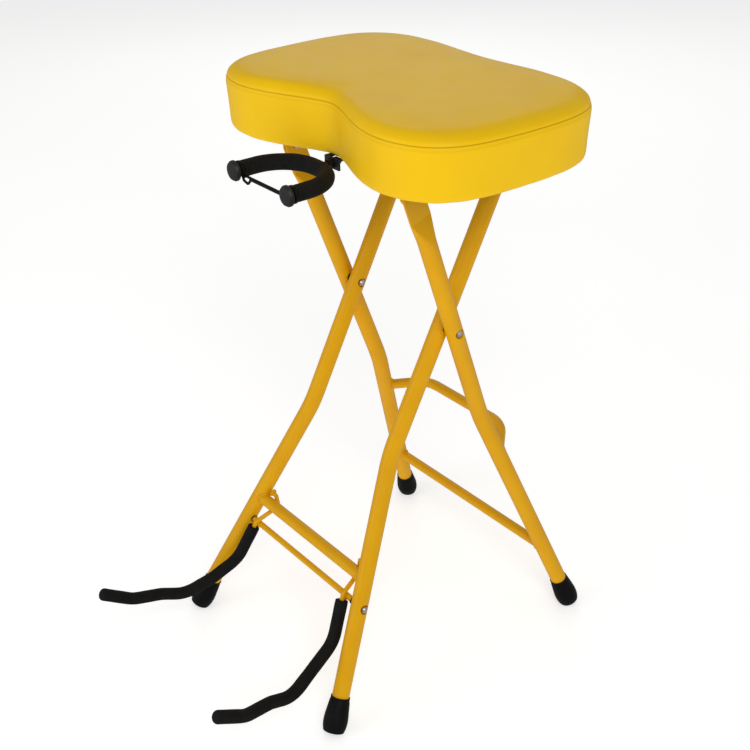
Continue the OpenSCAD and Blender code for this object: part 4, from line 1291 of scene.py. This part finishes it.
@dataclass
class NeckFork:
    """The foam-covered fork that holds the guitar's neck, and its strap."""

    finishes: StoolFinishes
    nodes: dict[str, Obj]
    back: tuple[float, float, float] = (0.0, -12.797, 672.7)
    width: float = 101.0
    reach: float = 65.0
    bend: float = 47.0
    foam_d: float = 19.0
    neck_d: float = 14.0
    neck_l: float = 7.0
    ring_d: float = 20.5
    ring_t: float = 4.4
    bar_w: float = 4.6
    bar_t: float = 2.6
    bar_drop: float = 5.0
    eye_w: float = 12.0
    eye_h: float = 11.0
    eye_rim: float = 2.5
    lip: float = 3.0

    def foam(self) -> Obj:
        """Returns the foam sleeve that is slid over the fork's rod."""
        half = self.width / 2
        corners = [(-half, -self.reach, 0), (-half, 0, 0), (half, 0, 0), (half, -self.reach, 0)]
        line = bent_route(corners, [self.bend, self.bend], 2.6) + np.array(self.back)
        points, radii = capped_rod(line, self.foam_d / 2, 1.4)
        puffed = radii + np.array([
            0.22 * waver(*(p * 0.09)) if 4 < i < len(points) - 5 else 0.0 for i, p in enumerate(points)
        ])
        verts, faces = swept(points, round_section(puffed), 40)
        # the foam buckles a little on the inside of its tight bends
        inner, reach = self.bend - self.foam_d / 2, 4
        for vert in verts:
            x, y = vert[0] - self.back[0], vert[1] - self.back[1]
            for sign in (-1, 1):
                cx, cy = sign * (half - self.bend), -self.bend
                r = math.hypot(x - cx, y - cy)
                if sign * (x - cx) > 0 and y > cy and r < inner + reach:
                    turn = math.atan2(y - cy, sign * (x - cx))
                    share = min(max(turn / (math.pi / 2), 0), 1)
                    deep = (1 - (r - inner) / reach) * math.sin(share * math.pi)
                    push = 0.45 * deep * math.cos(turn * 22)
                    vert[0] += push * (x - cx) / r
                    vert[1] += push * (y - cy) / r
        return mesh_piece("fork_grip", verts, faces)

    def strap(self) -> Obj:
        """Returns the rubber strap: ring, bar, pull eye and hook."""
        parts = MeshParts()
        half = self.width / 2
        origin = np.array(self.back) + [half, -self.reach - self.neck_l / 2, 0]
        ring_r = (self.ring_d + self.neck_d) / 4 + 0.04
        wall = (self.ring_d - self.neck_d) / 2 - 0.08

        def at(x: float, z: float) -> Points:
            """Returns a point of the strap's plane, from the right cap's middle."""
            return origin + [x, 0, z]

        level = np.array([0.0, 1.0, 0.0])
        loop = np.array([at(ring_r * math.cos(a), ring_r * math.sin(a)) for a in circle(48)])
        parts.add(*swept(loop, flat_section(self.ring_t, wall), 16, True, level))
        hook_wall = wall - 0.3
        eye_x = self.width - self.ring_d / 2 - self.eye_w + hook_wall / 2
        drop, rim = self.bar_drop, self.eye_rim
        bar = [at(-ring_r * 0.86, -drop * 0.86), at(-self.neck_d / 2 - 2.5, -drop), at(-eye_x, -drop)]
        bar_line = respaced(np.array(bar), 1.6)
        parts.add(*swept(bar_line, flat_section(self.bar_t, self.bar_w, 4), 16, False, level))
        left, right = -eye_x - self.eye_w + rim / 2, -eye_x + 0.6
        top = -drop + self.bar_w / 2 - rim / 2
        low = -drop - self.eye_h + self.bar_w / 2 + rim / 2
        eye = [
            at(right + 3.5, top), at(left, top), at(left - 3.0, low + 2.4), at(left + self.eye_w * 0.55, low),
        ]
        begin = (eye[0] + eye[3]) / 2
        around = bent_route([begin, *eye, begin], [1.6] * len(eye), 1.0)
        parts.add(*swept(around[:-1], flat_section(self.bar_t, rim, 4), 14, True, level))
        middle = -self.width
        hook_r = self.neck_d / 2 + 0.3 + hook_wall / 2
        turn = [at(middle + hook_r * math.cos(a), hook_r * math.sin(a)) for a in np.linspace(math.pi, 0, 28)]
        arc = [at(middle - hook_r, -self.lip), *turn, at(middle + hook_r, -drop - self.bar_w / 2)]
        hook = respaced(np.array(arc), 1.0)
        ends = np.linspace(0, math.pi / 2, 4)
        tip = [hook[0] + np.array([0, 0, 1.0]) * (1 - math.sin(t)) for t in ends]
        sizes = np.concatenate([0.55 * np.sin(ends) + 0.45, np.ones(len(hook) - 2)])
        section = flat_section(self.ring_t, hook_wall)
        parts.add(*swept(np.vstack([tip, hook[2:]]), lambda i, a: section(i, a) * sizes[i], 16, False, level))
        return parts.piece("strap_rubber")

    def build(self) -> None:
        """Makes the fork's foam and strap and dresses its nodes."""
        f = self.finishes
        foam = self.foam()
        f.foam.dress(foam)
        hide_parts("fork_foam")
        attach(foam, Body.NECK_FORK.value)
        LOG.info("built %s", foam.name)
        strap = self.strap()
        f.rubber.dress(strap)
        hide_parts("fork_strap")
        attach(strap, Body.FORK_STRAP.value)
        LOG.info("built %s", strap.name)
        f.rod.dress(self.nodes["fork_rod"])
        f.plastic.dress(self.nodes["fork_cap_left"], self.nodes["fork_cap_right"])
        f.black_nut.dress(self.nodes["fork_nuts"], self.nodes["fork_washers"])
        f.foam.dress(self.nodes["fork_foam"])
        f.rubber.dress(self.nodes["fork_strap"])


@dataclass
class Cradle:
    """The folding arms that carry the guitar's body."""

    finishes: StoolFinishes
    nodes: dict[str, Obj]
    pivot: tuple[float, float, float] = (0.0, -62.017, 145.4)
    arm_x: float = 97.0
    spread_x: float = 41.0
    reach: float = 217.5
    drop: float = 83.0
    sleeve_d: float = 16.5
    link_d: float = 8.0
    arm_d: float = 6.0
    bend: float = 40.0  # the soft sleeve rounds the rod's bends off
    sleeve_start: float = 8.5
    weld_point: tuple[float, float, float] = (97.0, -5.18, 5.37)
    # the sleeve's corners, in shares of spread_x, reach and drop
    shares: tuple[tuple[float, float, float], ...] = (
        (0.29, -0.15, -0.62), (0.45, -0.325, -0.835), (0.685, -0.506, -1), (0.783, -0.662, -0.812),
        (0.93, -0.841, -0.705), (1, -1, -0.413),
    )

    def corners(self) -> list[tuple[float, float, float]]:
        """Returns the corners of the right sleeve's line, from the pivot."""
        arm = [(self.arm_x + a * self.spread_x, b * self.reach, c * self.drop) for a, b, c in self.shares]
        start = np.array(self.weld_point)
        way = unit(np.array(arm[0]) - start)
        return [tuple(start + self.sleeve_start * way)] + arm

    def sleeve(self, side: Side) -> Obj:
        """Makes one foam sleeve with its rounded tip.

        Args:
            side: Which arm it is on.

        Returns:
            The sleeve.
        """
        corners = [np.array(c) for c in self.corners()]
        radius = self.sleeve_d / 2
        tip_way = unit(corners[-1] - corners[-2])
        corners[-1] = corners[-1] + 0.12 * radius * tip_way
        line = bent_route(corners, [self.bend] * (len(corners) - 2), 2.8)
        points, radii = capped_rod(line, radius, 1.6)
        tip_edge = 4.2
        keep = np.linalg.norm(points - line[-1], axis=1) > tip_edge + 0.6
        body, body_r = points[keep], radii[keep]
        angles = np.radians(np.linspace(0, 90, 9))
        dome = np.array([line[-1] + (0.88 * radius - tip_edge * (1 - math.sin(a))) * tip_way for a in angles])
        dome = np.vstack([dome, line[-1] + (0.88 * radius + 0.35) * tip_way])
        dome_r = np.array([radius - tip_edge * (1 - math.cos(a)) for a in angles] + [radius - tip_edge - 2.6])
        neck_end = 0.88 * radius - tip_edge - 1.2
        neck = np.array([line[-1] + t * tip_way for t in np.linspace(-3.4, neck_end, 3)])
        points = np.vstack([body, neck, dome])
        radii = np.concatenate([body_r, np.full(len(neck), radius), dome_r])
        wave = np.array([0.28 * waver(*(p * 0.06)) for p in points])
        wave[:5] = 0
        wave[-10:] *= 0.3
        verts, faces = swept(points, round_section(radii + wave), 36)
        verts = verts * [side.value, 1, 1] + np.array(self.pivot)
        if side is Side.LEFT:
            faces = [face[::-1] for face in faces]
        return mesh_piece(f"sleeve_{side.name.lower()}", verts, faces)

    def welds(self) -> Obj:
        """Returns the tack welds between the link tube and the two arm rods."""
        parts = MeshParts()
        for side in Side:
            for offset in (-1.0, 1.0):
                centre = np.array(self.pivot) + [side.value * (self.arm_x + offset * self.arm_d * 0.42), 0, 0]
                angles = np.linspace(math.radians(100), math.radians(260), 26)
                across = np.column_stack([0 * angles, np.cos(angles), np.sin(angles)])
                line = centre + (self.link_d / 2 + 0.3) * across
                ripple = np.array([
                    1.15 * (1 + 0.14 * math.sin(i * 2.1)) * math.sin(math.pi * (i + 1) / 27) ** 0.35
                    for i in range(26)
                ])
                parts.add(*swept(line, round_section(ripple), 8))
        return parts.piece("cradle_welds")

    def build(self) -> None:
        """Makes the sleeves and welds and dresses the cradle's nodes."""
        f = self.finishes
        for side in Side:
            sleeve = self.sleeve(side)
            node = f"arm_sleeve_{side.name.lower()}"
            f.foam.dress(sleeve, self.nodes[node])
            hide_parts(node)
            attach(sleeve, Body.CRADLE.value)
            LOG.info("built %s", sleeve.name)
        welds = self.welds()
        f.frame.dress(
            welds, self.nodes["cradle_link_tube"],
            self.nodes["cradle_arm_left"], self.nodes["cradle_arm_right"],
        )
        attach(welds, Body.CRADLE.value)
        LOG.info("built %s", welds.name)


# Studio


@dataclass
class PhotoCamera:
    """The camera, at the photograph's viewpoint."""

    place: tuple[float, float, float] = (998.9, -733.9, 1117.7)
    target: tuple[float, float, float] = (23.525, 57.331, 385.005)
    roll: float = -0.704
    focal_px: float = 1155.907
    centre_px: tuple[float, float] = (380.657, 378.018)
    frame_px: float = 750.0
    sensor: float = 36.0

    def build(self) -> None:
        """Makes the camera and sets it as the scene's."""
        sight = bpy.data.cameras.new("photo_camera")
        sight.sensor_width = self.sensor
        sight.lens = self.focal_px / self.frame_px * self.sensor
        sight.shift_x = (self.frame_px / 2 - self.centre_px[0]) / self.frame_px
        sight.shift_y = (self.centre_px[1] - self.frame_px / 2) / self.frame_px
        sight.clip_start, sight.clip_end = 0.05, 100.0
        forward = unit(np.array(self.target) - np.array(self.place))
        right = unit(np.cross(forward, [0.0, 0.0, 1.0]))
        up = np.cross(right, forward)
        c, s = math.cos(math.radians(self.roll)), math.sin(math.radians(self.roll))
        r2, u2 = right * c + up * s, up * c - right * s
        turn = Matrix((r2, u2, -forward)).transposed().to_4x4()
        camera = bpy.data.objects.new("photo_camera", sight)
        camera.matrix_world = Matrix.Translation(Vector(self.place) * MILLI) @ turn
        bpy.context.scene.collection.objects.link(camera)
        bpy.context.scene.camera = camera


@dataclass
class Studio:
    """A white floor and soft boxes."""

    floor_r: float = 9000.0
    floor_rings: int = 12
    floor_sides: int = 96
    sky: float = 0.4
    aim: tuple[float, float, float] = (0.0, 50.0, 420.0)
    # each lamp's name, place, size and power in watts
    lights: tuple[tuple[str, tuple[float, float, float], float, float], ...] = (
        ("key_softbox", (2300, -1300, 2500), 1700, 38),
        ("fill_softbox", (-700, -2500, 1100), 1600, 13),
        ("back_softbox", (-2300, 2100, 1900), 1800, 10),
    )

    def floor(self) -> Obj:
        """Returns the pale floor, a broad disc."""
        n, angles = self.floor_sides, circle(self.floor_sides)
        across = np.column_stack([np.cos(angles), np.sin(angles), 0 * angles])
        rings = np.linspace(0, 1, self.floor_rings + 1)[1:] ** 1.5 * self.floor_r
        points = np.vstack([[[0, 0, 0]]] + [r * across for r in rings])
        faces: list[tuple[int, ...]] = [(0, 1 + k, 1 + (k + 1) % n) for k in range(n)]
        for j in range(len(rings) - 1):
            a, b = 1 + j * n, 1 + (j + 1) * n
            faces += [(a + k, b + k, b + (k + 1) % n, a + (k + 1) % n) for k in range(n)]
        return mesh_piece("studio_floor", points, faces)

    def build(self) -> None:
        """Makes the floor, the sky and the soft boxes."""
        scene = bpy.context.scene
        floor = self.floor()
        StudioWhite("studio_white", "#EDEDEC").dress(floor)
        floor.visible_glossy = False
        world = bpy.data.worlds.new("studio_sky")
        world.use_nodes = True
        inputs = world.node_tree.nodes["Background"].inputs
        inputs["Color"].default_value = linear("#FFFFFF")
        inputs["Strength"].default_value = self.sky
        scene.world = world
        aim = Vector(self.aim) * MILLI
        for name, place, size, power in self.lights:
            lamp = bpy.data.lights.new(name, "AREA")
            lamp.shape = "SQUARE"
            lamp.size = mm(size)
            lamp.energy = power
            holder = bpy.data.objects.new(name, lamp)
            holder.location = Vector(place) * MILLI
            holder.rotation_euler = (aim - holder.location).to_track_quat("-Z", "Y").to_euler()
            scene.collection.objects.link(holder)
        scene.view_settings.view_transform = "Standard"
        scene.view_settings.look = "None"
        LOG.info("built the studio")


def main() -> None:
    """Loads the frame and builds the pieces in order."""
    logging.basicConfig(level=logging.INFO, format="%(message)s")
    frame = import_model()
    PhotoCamera().build()
    finishes = StoolFinishes()
    nodes = frame["nodes"]
    for kind in (Stand, Seat, NeckFork, Cradle):
        kind(finishes, nodes).build()
        LOG.info("finished %s", kind.__name__)
    Studio().build()


if __name__ == "__main__":
    main()
